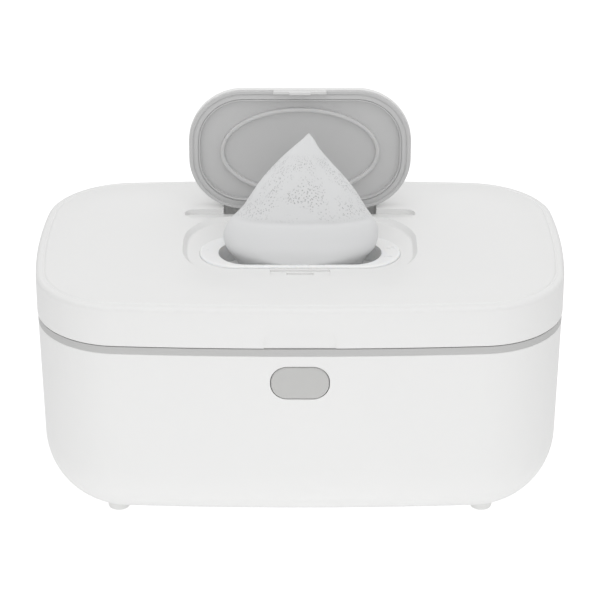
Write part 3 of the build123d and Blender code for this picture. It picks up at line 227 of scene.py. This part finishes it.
def mouldedSkinGroup():
    # the skin that a spark-eroded or polished mould leaves on plastic
    tree = bpy.data.node_groups.new("mouldedSkin", "ShaderNodeTree")
    addSocket(tree, "Color", "NodeSocketColor", value=(0.8, 0.8, 0.8, 1))
    addSocket(tree, "Grain Scale", "NodeSocketFloat", value=2600.0)
    addSocket(tree, "Roughness", "NodeSocketFloat", value=0.4)
    addSocket(tree, "Roughness Spread", "NodeSocketFloat", value=0.06)
    addSocket(tree, "Mottle", "NodeSocketFloat", value=0.02)
    addSocket(tree, "Color", "NodeSocketColor", "OUTPUT")
    addSocket(tree, "Roughness", "NodeSocketFloat", "OUTPUT")
    addSocket(tree, "Height", "NodeSocketFloat", "OUTPUT")
    nodes, links = tree.nodes, tree.links
    given = nodes.new("NodeGroupInput")
    result = nodes.new("NodeGroupOutput")
    place = nodes.new("ShaderNodeTexCoord")
    grain = nodes.new("ShaderNodeTexNoise")
    grain.inputs["Detail"].default_value = 3
    links.new(place.outputs["Object"], grain.inputs["Vector"])
    links.new(given.outputs["Grain Scale"], grain.inputs["Scale"])
    broad = nodes.new("ShaderNodeTexNoise")
    broad.inputs["Scale"].default_value = 24
    broad.inputs["Detail"].default_value = 2
    links.new(place.outputs["Object"], broad.inputs["Vector"])
    fine = nodes.new("ShaderNodeTexNoise")
    fine.inputs["Scale"].default_value = 190
    fine.inputs["Detail"].default_value = 4
    links.new(place.outputs["Object"], fine.inputs["Vector"])
    handled = mathNode(nodes, links, "SUBTRACT", broad.outputs["Fac"], 0.5)
    speckle = mathNode(nodes, links, "SUBTRACT", fine.outputs["Fac"], 0.5)
    together = mathNode(nodes, links, "ADD", handled, speckle)
    spread = mathNode(nodes, links, "MULTIPLY", together, given.outputs["Roughness Spread"])
    links.new(mathNode(nodes, links, "ADD", given.outputs["Roughness"], spread), result.inputs["Roughness"])
    shift = mathNode(nodes, links, "MULTIPLY", together, given.outputs["Mottle"])
    lift = mathNode(nodes, links, "ADD", shift, 1.0)
    tint = nodes.new("ShaderNodeVectorMath")
    tint.operation = "SCALE"
    links.new(given.outputs["Color"], tint.inputs[0])
    links.new(lift, tint.inputs["Scale"])
    links.new(tint.outputs[0], result.inputs["Color"])
    links.new(grain.outputs["Fac"], result.inputs["Height"])
    return tree


def clothGroup():
    # bonded fibres: fine felt with patches of small pressed pits, laid out in the sheet's own UV metres; the
    # pits also get painted shade, a darker colour in the hollows
    tree = bpy.data.node_groups.new("bondedFibre", "ShaderNodeTree")
    addSocket(tree, "Color", "NodeSocketColor", value=(0.8, 0.8, 0.8, 1))
    addSocket(tree, "Painted Pit Shade", "NodeSocketColor", value=(0.6, 0.6, 0.6, 1))
    addSocket(tree, "Pit Scale", "NodeSocketFloat", value=620.0)
    addSocket(tree, "Patch Scale", "NodeSocketFloat", value=70.0)
    addSocket(tree, "Pitted", "NodeSocketFloat", value=1.0)
    addSocket(tree, "Pitted From", "NodeSocketFloat", value=0.0)
    addSocket(tree, "Pitted To", "NodeSocketFloat", value=1.0)
    addSocket(tree, "Color", "NodeSocketColor", "OUTPUT")
    addSocket(tree, "Height", "NodeSocketFloat", "OUTPUT")
    nodes, links = tree.nodes, tree.links
    given = nodes.new("NodeGroupInput")
    result = nodes.new("NodeGroupOutput")
    place = nodes.new("ShaderNodeTexCoord")
    pits = nodes.new("ShaderNodeTexVoronoi")
    links.new(place.outputs["UV"], pits.inputs["Vector"])
    links.new(given.outputs["Pit Scale"], pits.inputs["Scale"])
    patches = nodes.new("ShaderNodeTexNoise")
    patches.inputs["Detail"].default_value = 2
    links.new(place.outputs["UV"], patches.inputs["Vector"])
    links.new(given.outputs["Patch Scale"], patches.inputs["Scale"])
    felt = nodes.new("ShaderNodeTexNoise")
    felt.inputs["Scale"].default_value = 1500
    felt.inputs["Detail"].default_value = 5
    felt.inputs["Distortion"].default_value = 1.2
    links.new(place.outputs["UV"], felt.inputs["Vector"])
    pitShape = nodes.new("ShaderNodeMapRange")
    pitShape.inputs["From Min"].default_value = 0.12
    pitShape.inputs["From Max"].default_value = 0.42
    pitShape.inputs["To Min"].default_value = 1.0
    pitShape.inputs["To Max"].default_value = 0.0
    links.new(pits.outputs["Distance"], pitShape.inputs["Value"])
    patchShape = nodes.new("ShaderNodeMapRange")
    patchShape.inputs["From Min"].default_value = 0.41
    patchShape.inputs["From Max"].default_value = 0.53
    links.new(patches.outputs["Fac"], patchShape.inputs["Value"])
    parts = nodes.new("ShaderNodeSeparateXYZ")
    links.new(place.outputs["UV"], parts.inputs[0])
    above = mathNode(nodes, links, "SUBTRACT", parts.outputs["Y"], given.outputs["Pitted From"])
    below = mathNode(nodes, links, "SUBTRACT", given.outputs["Pitted To"], parts.outputs["Y"])
    near = mathNode(nodes, links, "MINIMUM", above, below)
    zone = mathNode(nodes, links, "MULTIPLY", near, 250.0, clamp=True)
    pressed = mathNode(nodes, links, "MULTIPLY", pitShape.outputs[0], patchShape.outputs[0])
    pressed = mathNode(nodes, links, "MULTIPLY", pressed, zone)
    pressed = mathNode(nodes, links, "MULTIPLY", pressed, given.outputs["Pitted"])
    # painted shade: the pits' colour is mixed towards the darker pit colour, shade painted into the hollows on
    # top of their bump
    mix = nodes.new("ShaderNodeMix")
    mix.data_type = "RGBA"
    links.new(pressed, mix.inputs["Factor"])
    links.new(given.outputs["Color"], mix.inputs["A"])
    links.new(given.outputs["Painted Pit Shade"], mix.inputs["B"])
    links.new(mix.outputs["Result"], result.inputs["Color"])
    sunk = mathNode(nodes, links, "MULTIPLY", pressed, -0.9)
    fuzz = mathNode(nodes, links, "MULTIPLY", felt.outputs["Fac"], 0.55)
    links.new(mathNode(nodes, links, "ADD", sunk, fuzz), result.inputs["Height"])
    return tree


mouldedSkin = mouldedSkinGroup()
bondedFibre = clothGroup()


def startMaterial(name):
    material = bpy.data.materials.new(name)
    material.use_nodes = True
    nodes, links = material.node_tree.nodes, material.node_tree.links
    return material, nodes, links, nodes["Principled BSDF"]


def plasticMaterial(
    name, color, roughness, grain=2600.0, depth=0.00002, spread=0.06, mottle=0.02, metallic=0.0, subsurface=0.0
):
    material, nodes, links, shader = startMaterial(name)
    skin = nodes.new("ShaderNodeGroup")
    skin.node_tree = mouldedSkin
    skin.inputs["Color"].default_value = (*color, 1)
    skin.inputs["Grain Scale"].default_value = grain
    skin.inputs["Roughness"].default_value = roughness
    skin.inputs["Roughness Spread"].default_value = spread
    skin.inputs["Mottle"].default_value = mottle
    bump = nodes.new("ShaderNodeBump")
    bump.inputs["Distance"].default_value = depth
    bump.inputs["Strength"].default_value = 0.6
    links.new(skin.outputs["Color"], shader.inputs["Base Color"])
    links.new(skin.outputs["Roughness"], shader.inputs["Roughness"])
    links.new(skin.outputs["Height"], bump.inputs["Height"])
    links.new(bump.outputs[0], shader.inputs["Normal"])
    shader.inputs["Metallic"].default_value = metallic
    shader.inputs["Subsurface Weight"].default_value = subsurface
    shader.inputs["Subsurface Radius"].default_value = (1.0, 0.9, 0.8)
    shader.inputs["Subsurface Scale"].default_value = 0.002
    return material


def clothMaterial(name, color, paintedPitShade, pitted, pitScale, patchScale=70.0, zone=(-1.0, 9.0)):
    material, nodes, links, shader = startMaterial(name)
    fibre = nodes.new("ShaderNodeGroup")
    fibre.node_tree = bondedFibre
    fibre.inputs["Color"].default_value = (*color, 1)
    fibre.inputs["Painted Pit Shade"].default_value = (*paintedPitShade, 1)
    fibre.inputs["Pitted"].default_value = pitted
    fibre.inputs["Pit Scale"].default_value = pitScale
    fibre.inputs["Patch Scale"].default_value = patchScale
    fibre.inputs["Pitted From"].default_value, fibre.inputs["Pitted To"].default_value = zone
    bump = nodes.new("ShaderNodeBump")
    bump.inputs["Distance"].default_value = 0.00016
    bump.inputs["Strength"].default_value = 0.55
    links.new(fibre.outputs["Color"], shader.inputs["Base Color"])
    links.new(fibre.outputs["Height"], bump.inputs["Height"])
    links.new(bump.outputs[0], shader.inputs["Normal"])
    shader.inputs["Roughness"].default_value = 0.85
    shader.inputs["Specular IOR Level"].default_value = 0.25
    shader.inputs["Sheen Weight"].default_value = 0.2
    shader.inputs["Sheen Roughness"].default_value = 0.5
    return material


finishes = {
    "white_plastic": plasticMaterial("satinWhite", (0.845, 0.845, 0.84), 0.34, spread=0.05, mottle=0.012),
    "collar_plastic": plasticMaterial(
        "collarWhite", (0.92, 0.92, 0.915), 0.28, spread=0.05, mottle=0.01, subsurface=0.35
    ),
    "tub_plastic": plasticMaterial("bandGrey", (0.53, 0.53, 0.525), 0.42),
    "panel_plastic": plasticMaterial("throatWhite", (0.91, 0.91, 0.905), 0.5),
    "cover_panel_plastic": plasticMaterial("coverGrey", (0.60, 0.60, 0.60), 0.34),
    "latch_plastic": plasticMaterial("latchPale", (0.78, 0.78, 0.775), 0.36),
    "button_plastic": plasticMaterial("buttonGrey", (0.54, 0.54, 0.53), 0.4),
    "foot_rubber": plasticMaterial("footRubber", (0.93, 0.93, 0.92), 0.65, grain=1500.0),
    "seal_silicone": plasticMaterial("sealSilicone", (0.64, 0.64, 0.64), 0.42, grain=900.0, subsurface=0.2),
    "steel": plasticMaterial("brightSteel", (0.62, 0.62, 0.63), 0.26, metallic=1.0, grain=900.0),
    "spreader_metal": plasticMaterial(
        "spreaderAluminium", (0.72, 0.72, 0.73), 0.34, metallic=1.0, grain=1400.0
    ),
    "film_plastic": plasticMaterial("amberFilm", (0.5, 0.2, 0.03), 0.25, grain=500.0),
    "foam": plasticMaterial("darkFoam", (0.03, 0.03, 0.032), 0.9, grain=700.0, depth=0.0003),
    "board_laminate": plasticMaterial("greenLaminate", (0.01, 0.1, 0.035), 0.3, grain=800.0),
    "black_resin": plasticMaterial("blackResin", (0.02, 0.02, 0.02), 0.5, grain=1600.0),
    "can_metal": plasticMaterial("canMetal", (0.6, 0.6, 0.61), 0.3, metallic=1.0, grain=1200.0),
    "header_plastic": plasticMaterial("headerPlastic", (0.72, 0.68, 0.58), 0.5),
    "pin_metal": plasticMaterial("platedPin", (0.78, 0.76, 0.7), 0.16, metallic=1.0),
    "led_lens": plasticMaterial("ledLens", (0.85, 0.8, 0.5), 0.2, subsurface=0.3),
    "lead_sleeve": plasticMaterial("leadSleeve", (0.03, 0.03, 0.03), 0.45, grain=1200.0),
}
# painted shade: each cloth's second colour is the shade painted into its pits
wipeCloth = clothMaterial(
    "wipeCloth", (0.76, 0.765, 0.77), (0.44, 0.445, 0.45), 1.0, 1100.0, patchScale=95.0, zone=(0.0545, 0.086)
)
foldCloth = clothMaterial("foldCloth", (0.8, 0.8, 0.8), (0.66, 0.66, 0.66), 0.6, 420.0)


def dressNodes():
    for entry in frame["record"]["subparts"]:
        material = finishes.get(entry["material_slot"])
        if material is None:
            continue
        mesh = frame["nodes"][entry["node"]].data
        mesh.materials.clear()
        mesh.materials.append(material)


dressNodes()
print("materials ready")

wipeSettings = {
    "across": 160,
    "up": 170,
    "thickness": 0.35,
    "crowding": 1.2,  # rows crowd towards the tip
    "overlap": 0.06,
    "lap": 0.7,  # the free edge lies this far outside the other one
    "roundness": 0.9,
    "wobble": 0.9,
    "wobbleFine": 0.22,
    "calm": 0.45,  # the folded lower part is pulled smooth
    "calmBelow": 140,
    "mapSize": (0.16, 0.0942),
    "seed": 3,
    "flat": (0.17, 0.1),
    # height, left edge, right edge, front bulge, back bulge, middle's y, all in mm
    "outline": [
        (86.0, -17.0, 17.5, 1.2, 1.2, -14.6),
        (96.0, -17.5, 18.5, 1.8, 1.8, -14.6),
        (104.0, -20.0, 20.5, 3.2, 3.0, -14.6),
        (108.0, -22.0, 22.5, 6.0, 4.0, -14.6),
        (111.5, -24.0, 24.5, 9.0, 5.0, -14.6),
        (114.5, -26.6, 27.0, 11.0, 5.8, -14.6),
        (118.5, -28.6, 28.8, 12.6, 6.4, -14.6),
        (121.5, -30.0, 30.2, 13.1, 6.8, -14.6),
        (123.6, -31.6, 31.8, 13.3, 7.0, -14.6),
        (126.0, -33.6, 34.0, 13.5, 7.0, -14.4),
        (129.0, -34.9, 35.4, 13.3, 6.6, -14.0),
        (132.5, -35.2, 36.0, 12.0, 5.8, -13.6),
        (136.0, -34.2, 35.6, 10.6, 5.2, -13.2),
        (139.2, -32.2, 34.2, 9.0, 4.6, -12.9),
        (140.4, -31.2, 33.4, 7.7, 4.4, -12.8),
        (141.6, -30.0, 32.6, 7.9, 4.2, -12.7),
        (145.8, -26.0, 29.8, 7.4, 3.8, -12.3),
        (152.5, -21.8, 25.8, 6.4, 3.0, -11.7),
        (159.1, -17.2, 20.9, 5.2, 2.4, -11.1),
        (167.2, -10.0, 13.7, 3.6, 1.6, -10.2),
        (173.2, -3.8, 8.8, 2.2, 1.0, -9.7),
        (177.6, 1.2, 6.2, 1.0, 0.5, -9.3),
        (180.2, 3.7, 4.3, 0.3, 0.2, -9.1),
    ],
}


def between(rows, height):
    # a smooth curve through the rows of an outline
    last = len(rows) - 1
    start = 0
    while start < last - 1 and height > rows[start + 1][0]:
        start += 1
    before, low, high, after = (rows[max(0, min(last, start + step))] for step in (-1, 0, 1, 2))
    span = high[0] - low[0]
    share = max(0.0, min(1.0, (height - low[0]) / span))
    values = []
    for index in range(1, len(low)):
        slopeLow = (high[index] - before[index]) / max(high[0] - before[0], 0.001) * span
        slopeHigh = (after[index] - low[index]) / max(after[0] - low[0], 0.001) * span
        square, cube = share * share, share**3
        values.append(
            (2 * cube - 3 * square + 1) * low[index]
            + (cube - 2 * square + share) * slopeLow
            + (3 * square - 2 * cube) * high[index]
            + (cube - square) * slopeHigh
        )
    return values


def wipePoint(settings, around, height):
    # around runs once round the gathered sheet, from its free edge at the back
    left, right, front, back, middleY = between(settings["outline"], height)
    middle, half = (left + right) / 2, max((right - left) / 2, 0.15)
    angle = -math.pi / 2 + 2 * math.pi * around * (1 + settings["overlap"])
    side = math.cos(angle)
    depth = math.sin(angle)
    x = middle - half * math.copysign(abs(side) ** settings["roundness"], side)
    bulge = max(back if depth < 0 else front, 0.1)
    y = middleY - depth * bulge
    if around > 1 / (1 + settings["overlap"]):
        y += settings["lap"]
    wobble = noise.noise(Vector((x / 16, height / 20, settings["seed"])))
    fine = noise.noise(Vector((x / 5, height / 9, settings["seed"] + 9)))
    reach = min(1.0, half / 14)
    calm = settings["calm"] if height < settings["calmBelow"] else 1.0
    y += (settings["wobble"] * wobble + settings["wobbleFine"] * fine) * reach * calm
    return Vector((x, y, height)) * mm


def riseShare(settings, row):
    return math.sin(row / settings["up"] * math.pi / 2) ** settings["crowding"]


def buildWipe():
    settings = wipeSettings
    low = settings["outline"][0][0]
    high = settings["outline"][-1][0]
    columns, rows = settings["across"], settings["up"]
    build = bmesh.new()
    sheetMap = build.loops.layers.uv.new("sheet")
    mapWidth, mapHeight = settings["mapSize"]
    grid = []
    for row in range(rows + 1):
        height = low + (high - low) * riseShare(settings, row)
        points = [wipePoint(settings, column / columns, height) for column in range(columns + 1)]
        grid.append([build.verts.new(point) for point in points])
    for row in range(rows):
        for column in range(columns):
            places = ((column, row), (column + 1, row), (column + 1, row + 1), (column, row + 1))
            face = build.faces.new([grid[up][across] for across, up in places])
            face.smooth = True
            for loop, (across, up) in zip(face.loops, places):
                loop[sheetMap].uv = (mapWidth * across / columns, mapHeight * riseShare(settings, up))
    bmesh.ops.recalc_face_normals(build, faces=build.faces)
    mesh = bpy.data.meshes.new("pulledWipe")
    build.to_mesh(mesh)
    build.free()
    print("wipe's area on one side, square metres:", round(sum(face.area for face in mesh.polygons), 5))
    wipe = bpy.data.objects.new("pulledWipe", mesh)
    scene.collection.objects.link(wipe)
    solidify = wipe.modifiers.new("thickness", "SOLIDIFY")
    solidify.thickness = settings["thickness"] * mm
    solidify.offset = 0
    mesh.materials.append(wipeCloth)
    return wipe


wipe = buildWipe()
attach(wipe, "lid")
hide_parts("popup_wipe")
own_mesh(wipe)
print("wipe ready")

foldSettings = {
    "width": 184.0,
    "depth": 96.0,
    "corner": 10.0,
    "layer": 1.86,
    "edge": 0.9,
    "layers": 25,
    "low": 38.5,
    "slide": 0.5,
    "turn": 0.004,
    "seed": 7,
    "around": 88,
    "rings": (1.0, 0.996, 0.988, 0.97, 0.93, 0.85, 0.72, 0.55, 0.36, 0.16),
}

foamSettings = {
    "width": 79.6,
    "depth": 65.6,
    "corner": 3.0,
    "layer": 7.6,
    "edge": 1.4,
    "middle": 29.9,
    "around": 96,
    "rings": (1.0, 0.994, 0.982, 0.96, 0.93, 0.85, 0.72, 0.55, 0.36, 0.16),
}


def roundedOutline(settings, step):
    # a point of a rounded rectangle, by its share of the way round
    halfX, halfY, corner = settings["width"] / 2, settings["depth"] / 2, settings["corner"]
    flatX, flatY = 2 * (halfX - corner), 2 * (halfY - corner)
    arc = corner * math.pi / 2
    along = (step % 1.0) * (2 * flatX + 2 * flatY + 4 * arc)
    # straight run, corner, straight run, corner, as seen from above
    runs = (
        (flatY, arc, (halfX, -halfY + corner), (0, 1), (halfX - corner, halfY - corner), 0),
        (flatX, arc, (halfX - corner, halfY), (-1, 0), (-halfX + corner, halfY - corner), 1),
        (flatY, arc, (-halfX, halfY - corner), (0, -1), (-halfX + corner, -halfY + corner), 2),
        (flatX, arc, (-halfX + corner, -halfY), (1, 0), (halfX - corner, -halfY + corner), 3),
    )
    for straight, bend, start, way, centre, quarter in runs:
        if along <= straight:
            return start[0] + way[0] * along, start[1] + way[1] * along
        along -= straight
        if along <= bend:
            angle = (quarter + along / bend) * math.pi / 2
            return centre[0] + corner * math.cos(angle), centre[1] + corner * math.sin(angle)
        along -= bend
    return halfX, -halfY + corner


def slabMesh(name, settings, middleZ, foldLine=None, unevenness=0.0):
    # a soft slab with a rounded rim: rings drawn in towards the middle, above and below
    around, rings = settings["around"], settings["rings"]
    thick, edge = settings["layer"] / 2, settings["edge"]
    foldRise, foldRun, rippleX, rippleY = 0.45, 1.2, 21, 17
    build = bmesh.new()
    sheetMap = build.loops.layers.uv.new("sheet")

    def point(step, ring, side):
        x, y = roundedOutline(settings, step / around)
        inward = (1 - ring) * min(settings["width"], settings["depth"]) / 2
        full = min(1.0, inward / edge)
        rise = thick * math.sqrt(max(0.0, 1 - (1 - full) ** 2))
        x, y = x * ring, y * ring
        z = side * rise
        if foldLine is not None and side > 0:
            z += foldRise * min(1.0, max(0.0, (y - foldLine) / foldRun)) * full
        z += unevenness * noise.noise(Vector((x / rippleX, y / rippleY, 2 + side))) * full
        return Vector((x, y, middleZ + z)) * mm

    rows = []
    for side in (-1, 1):
        order = rings if side > 0 else rings[:0:-1]
        for ring in order:
            rows.append([build.verts.new(point(step, ring, side)) for step in range(around)])
    bottom = build.verts.new(point(0, 0.0001, -1))
    top = build.verts.new(point(0, 0.0001, 1))
    for low, high in zip(rows, rows[1:]):
        for step in range(around):
            after = (step + 1) % around
            build.faces.new((low[step], low[after], high[after], high[step]))
    for step in range(around):
        after = (step + 1) % around
        build.faces.new((bottom, rows[0][after], rows[0][step]))
        build.faces.new((top, rows[-1][step], rows[-1][after]))
    for face in build.faces:
        face.smooth = True
        for loop in face.loops:
            loop[sheetMap].uv = (loop.vert.co.x, loop.vert.co.y)
    bmesh.ops.recalc_face_normals(build, faces=build.faces)
    mesh = bpy.data.meshes.new(name)
    build.to_mesh(mesh)
    build.free()
    return mesh


def setInputs(modifier, values):
    # the modifier's inputs go by their sockets' identifiers
    for item in modifier.node_group.interface.items_tree:
        if item.in_out == "INPUT" and item.name in values:
            modifier[item.identifier] = values[item.name]


def layeredStackTree():
    # repeats one folded sheet upwards, each a little out of line with the last
    tree = bpy.data.node_groups.new("layeredStack", "GeometryNodeTree")
    for name, kind in (
        ("Geometry", "NodeSocketGeometry"),
        ("Layers", "NodeSocketInt"),
        ("Step", "NodeSocketFloat"),
        ("Slide", "NodeSocketFloat"),
        ("Turn", "NodeSocketFloat"),
        ("Seed", "NodeSocketInt"),
        ("Finish", "NodeSocketMaterial"),
    ):
        addSocket(tree, name, kind)
    addSocket(tree, "Geometry", "NodeSocketGeometry", "OUTPUT")
    nodes, links = tree.nodes, tree.links
    given, result = nodes.new("NodeGroupInput"), nodes.new("NodeGroupOutput")
    rise = nodes.new("ShaderNodeCombineXYZ")
    links.new(given.outputs["Step"], rise.inputs["Z"])
    line = nodes.new("GeometryNodeMeshLine")
    links.new(given.outputs["Layers"], line.inputs["Count"])
    links.new(rise.outputs[0], line.inputs["Offset"])
    backSlide = mathNode(nodes, links, "MULTIPLY", given.outputs["Slide"], -1.0)
    least, most = nodes.new("ShaderNodeCombineXYZ"), nodes.new("ShaderNodeCombineXYZ")
    for axis in ("X", "Y"):
        links.new(backSlide, least.inputs[axis])
        links.new(given.outputs["Slide"], most.inputs[axis])
    slide = nodes.new("FunctionNodeRandomValue")
    slide.data_type = "FLOAT_VECTOR"
    links.new(least.outputs[0], slide.inputs[0])
    links.new(most.outputs[0], slide.inputs[1])
    links.new(given.outputs["Seed"], slide.inputs["Seed"])
    moved = nodes.new("GeometryNodeSetPosition")
    links.new(line.outputs[0], moved.inputs["Geometry"])
    links.new(slide.outputs[0], moved.inputs["Offset"])
    turn = nodes.new("FunctionNodeRandomValue")
    turn.data_type = "FLOAT"
    links.new(mathNode(nodes, links, "MULTIPLY", given.outputs["Turn"], -1.0), turn.inputs[2])
    links.new(given.outputs["Turn"], turn.inputs[3])
    links.new(given.outputs["Seed"], turn.inputs["Seed"])
    turned = nodes.new("ShaderNodeCombineXYZ")
    links.new(turn.outputs[1], turned.inputs["Z"])
    place = nodes.new("GeometryNodeInstanceOnPoints")
    links.new(moved.outputs[0], place.inputs["Points"])
    links.new(given.outputs["Geometry"], place.inputs["Instance"])
    links.new(turned.outputs[0], place.inputs["Rotation"])
    real = nodes.new("GeometryNodeRealizeInstances")
    links.new(place.outputs[0], real.inputs[0])
    finish = nodes.new("GeometryNodeSetMaterial")
    links.new(real.outputs[0], finish.inputs["Geometry"])
    links.new(given.outputs["Finish"], finish.inputs["Material"])
    links.new(finish.outputs[0], result.inputs["Geometry"])
    return tree


def grownPiece(name, start, tree, values):
    # runs the tree on the start mesh and keeps the result as a plain mesh
    source = bpy.data.objects.new(name + "Source", start)
    scene.collection.objects.link(source)
    grow = source.modifiers.new("grow", "NODES")
    grow.node_group = tree
    setInputs(grow, values)
    bpy.context.view_layer.update()
    evaluated = source.evaluated_get(bpy.context.evaluated_depsgraph_get())
    mesh = bpy.data.meshes.new_from_object(evaluated, depsgraph=bpy.context.evaluated_depsgraph_get())
    mesh.name = name
    bpy.data.objects.remove(source)
    piece = bpy.data.objects.new(name, mesh)
    scene.collection.objects.link(piece)
    return piece


layerMesh = slabMesh("foldedLayer", foldSettings, 0.0, foldLine=6.0, unevenness=0.25)
for vertex in layerMesh.vertices:
    vertex.co.z += (foldSettings["low"] + foldSettings["layer"] / 2) * mm
wipeStack = grownPiece(
    "foldedWipes",
    layerMesh,
    layeredStackTree(),
    {
        "Layers": foldSettings["layers"],
        "Step": foldSettings["layer"] * mm,
        "Slide": foldSettings["slide"] * mm,
        "Turn": foldSettings["turn"],
        "Seed": foldSettings["seed"],
        "Finish": foldCloth,
    },
)
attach(wipeStack, "base")
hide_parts("wipe_stack")
print("stack of folded wipes ready")

foamMesh = slabMesh("heaterFoam", foamSettings, foamSettings["middle"], unevenness=0.12)
foamMesh.materials.append(finishes["foam"])
foam = bpy.data.objects.new("heaterFoam", foamMesh)
scene.collection.objects.link(foam)
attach(foam, "base")
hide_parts("insulation_foam")
print("foam ready")

screwSettings = [
    # piece, node it stands for, body, head radius, head height, shaft radius, shaft length, head down, places
    ("tubScrews", "tub_screws", "base", 3.0, 2.0, 1.5, 22.3, True,
     [(x * 62, y * 30, 12.2) for x in (-1, 1) for y in (-1, 1)]),
    ("boardScrews", "board_screws", "base", 2.2, 1.4, 1.1, 7.1, False,
     [(x * 37, y * 18, 15.8) for x in (-1, 1) for y in (-1, 1)]),
    ("panelScrews", "lid_panel_screws", "lid", 2.6, 1.6, 1.3, 9.6, True,
     [(x * 88, y * 42, 104.4) for x in (-1, 1) for y in (-1, 1)] + [(-75, 0, 104.4), (75, 0, 104.4)]),
]


def screwMesh(name, headRadius, headHeight, shaftRadius, shaftLength):
    # a pan head with a cross recess over a ridged shaft, its seat at z = 0 and its head up
    around = 24
    build = bmesh.new()

    def ring(z, radius):
        verts = []
        for step in range(around):
            angle = 2 * math.pi * step / around
            size = radius(step) if callable(radius) else radius
            verts.append(build.verts.new((size * math.cos(angle) * mm, size * math.sin(angle) * mm, z * mm)))
        return verts

    def crossShape(scale):
        widths = (0.62, 0.56, 0.2, 0.17, 0.2, 0.56)
        return lambda step: headRadius * scale * widths[step % 6]

    turns = max(4, int(shaftLength / 0.9))
    rings = [ring(-shaftLength, 0.25 * shaftRadius)]
    for turn in range(turns):
        low = -shaftLength + 0.6 + (shaftLength - 1.2) * turn / turns
        pitch = (shaftLength - 1.2) / turns
        rings.append(ring(low, 0.8 * shaftRadius))
        rings.append(ring(low + pitch / 2, shaftRadius))
    rings.append(ring(-0.5, 0.8 * shaftRadius))
    rings.append(ring(0, 0.84 * shaftRadius))
    # the head's side, as shares of its height and radius
    for rise, wide in ((0, 0.97), (0.12, 1), (0.6, 0.97), (0.86, 0.86), (1, 0.68)):
        rings.append(ring(headHeight * rise, headRadius * wide))
    rings.append(ring(headHeight, crossShape(1.0)))
    rings.append(ring(headHeight * 0.3, crossShape(0.72)))
    for low, high in zip(rings, rings[1:]):
        for step in range(around):
            after = (step + 1) % around
            face = build.faces.new((low[step], low[after], high[after], high[step]))
            face.smooth = True
    for end in (rings[0], rings[-1]):
        build.faces.new(end)
    bmesh.ops.recalc_face_normals(build, faces=build.faces)
    mesh = bpy.data.meshes.new(name)
    build.to_mesh(mesh)
    build.free()
    return mesh


def screwSetTree():
    # puts the given screw at each place, each turned by its own angle about its axis
    tree = bpy.data.node_groups.new("screwSet", "GeometryNodeTree")
    for name, kind in (
        ("Geometry", "NodeSocketGeometry"),
        ("Screw", "NodeSocketObject"),
        ("Seed", "NodeSocketInt"),
        ("Finish", "NodeSocketMaterial"),
    ):
        addSocket(tree, name, kind)
    addSocket(tree, "Geometry", "NodeSocketGeometry", "OUTPUT")
    nodes, links = tree.nodes, tree.links
    given, result = nodes.new("NodeGroupInput"), nodes.new("NodeGroupOutput")
    screw = nodes.new("GeometryNodeObjectInfo")
    links.new(given.outputs["Screw"], screw.inputs["Object"])
    spin = nodes.new("FunctionNodeRandomValue")
    spin.data_type = "FLOAT"
    spin.inputs[3].default_value = math.pi / 2
    links.new(given.outputs["Seed"], spin.inputs["Seed"])
    turned = nodes.new("ShaderNodeCombineXYZ")
    links.new(spin.outputs[1], turned.inputs["Z"])
    place = nodes.new("GeometryNodeInstanceOnPoints")
    links.new(given.outputs["Geometry"], place.inputs["Points"])
    links.new(screw.outputs["Geometry"], place.inputs["Instance"])
    links.new(turned.outputs[0], place.inputs["Rotation"])
    real = nodes.new("GeometryNodeRealizeInstances")
    links.new(place.outputs[0], real.inputs[0])
    finish = nodes.new("GeometryNodeSetMaterial")
    links.new(real.outputs[0], finish.inputs["Geometry"])
    links.new(given.outputs["Finish"], finish.inputs["Material"])
    links.new(finish.outputs[0], result.inputs["Geometry"])
    return tree


screwSet = screwSetTree()
for name, node, body, headRadius, headHeight, shaftRadius, shaftLength, headDown, places in screwSettings:
    mesh = screwMesh(name + "One", headRadius, headHeight, shaftRadius, shaftLength)
    if headDown:
        for vertex in mesh.vertices:
            vertex.co.y, vertex.co.z = -vertex.co.y, -vertex.co.z
    single = bpy.data.objects.new(name + "One", mesh)
    scene.collection.objects.link(single)
    spots = bpy.data.meshes.new(name + "Places")
    spots.from_pydata([[value * mm for value in place] for place in places], [], [])
    piece = grownPiece(
        name, spots, screwSet, {"Screw": single, "Seed": len(places), "Finish": finishes["steel"]}
    )
    bpy.data.objects.remove(single)
    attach(piece, body)
    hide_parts(node)
print("screws ready")
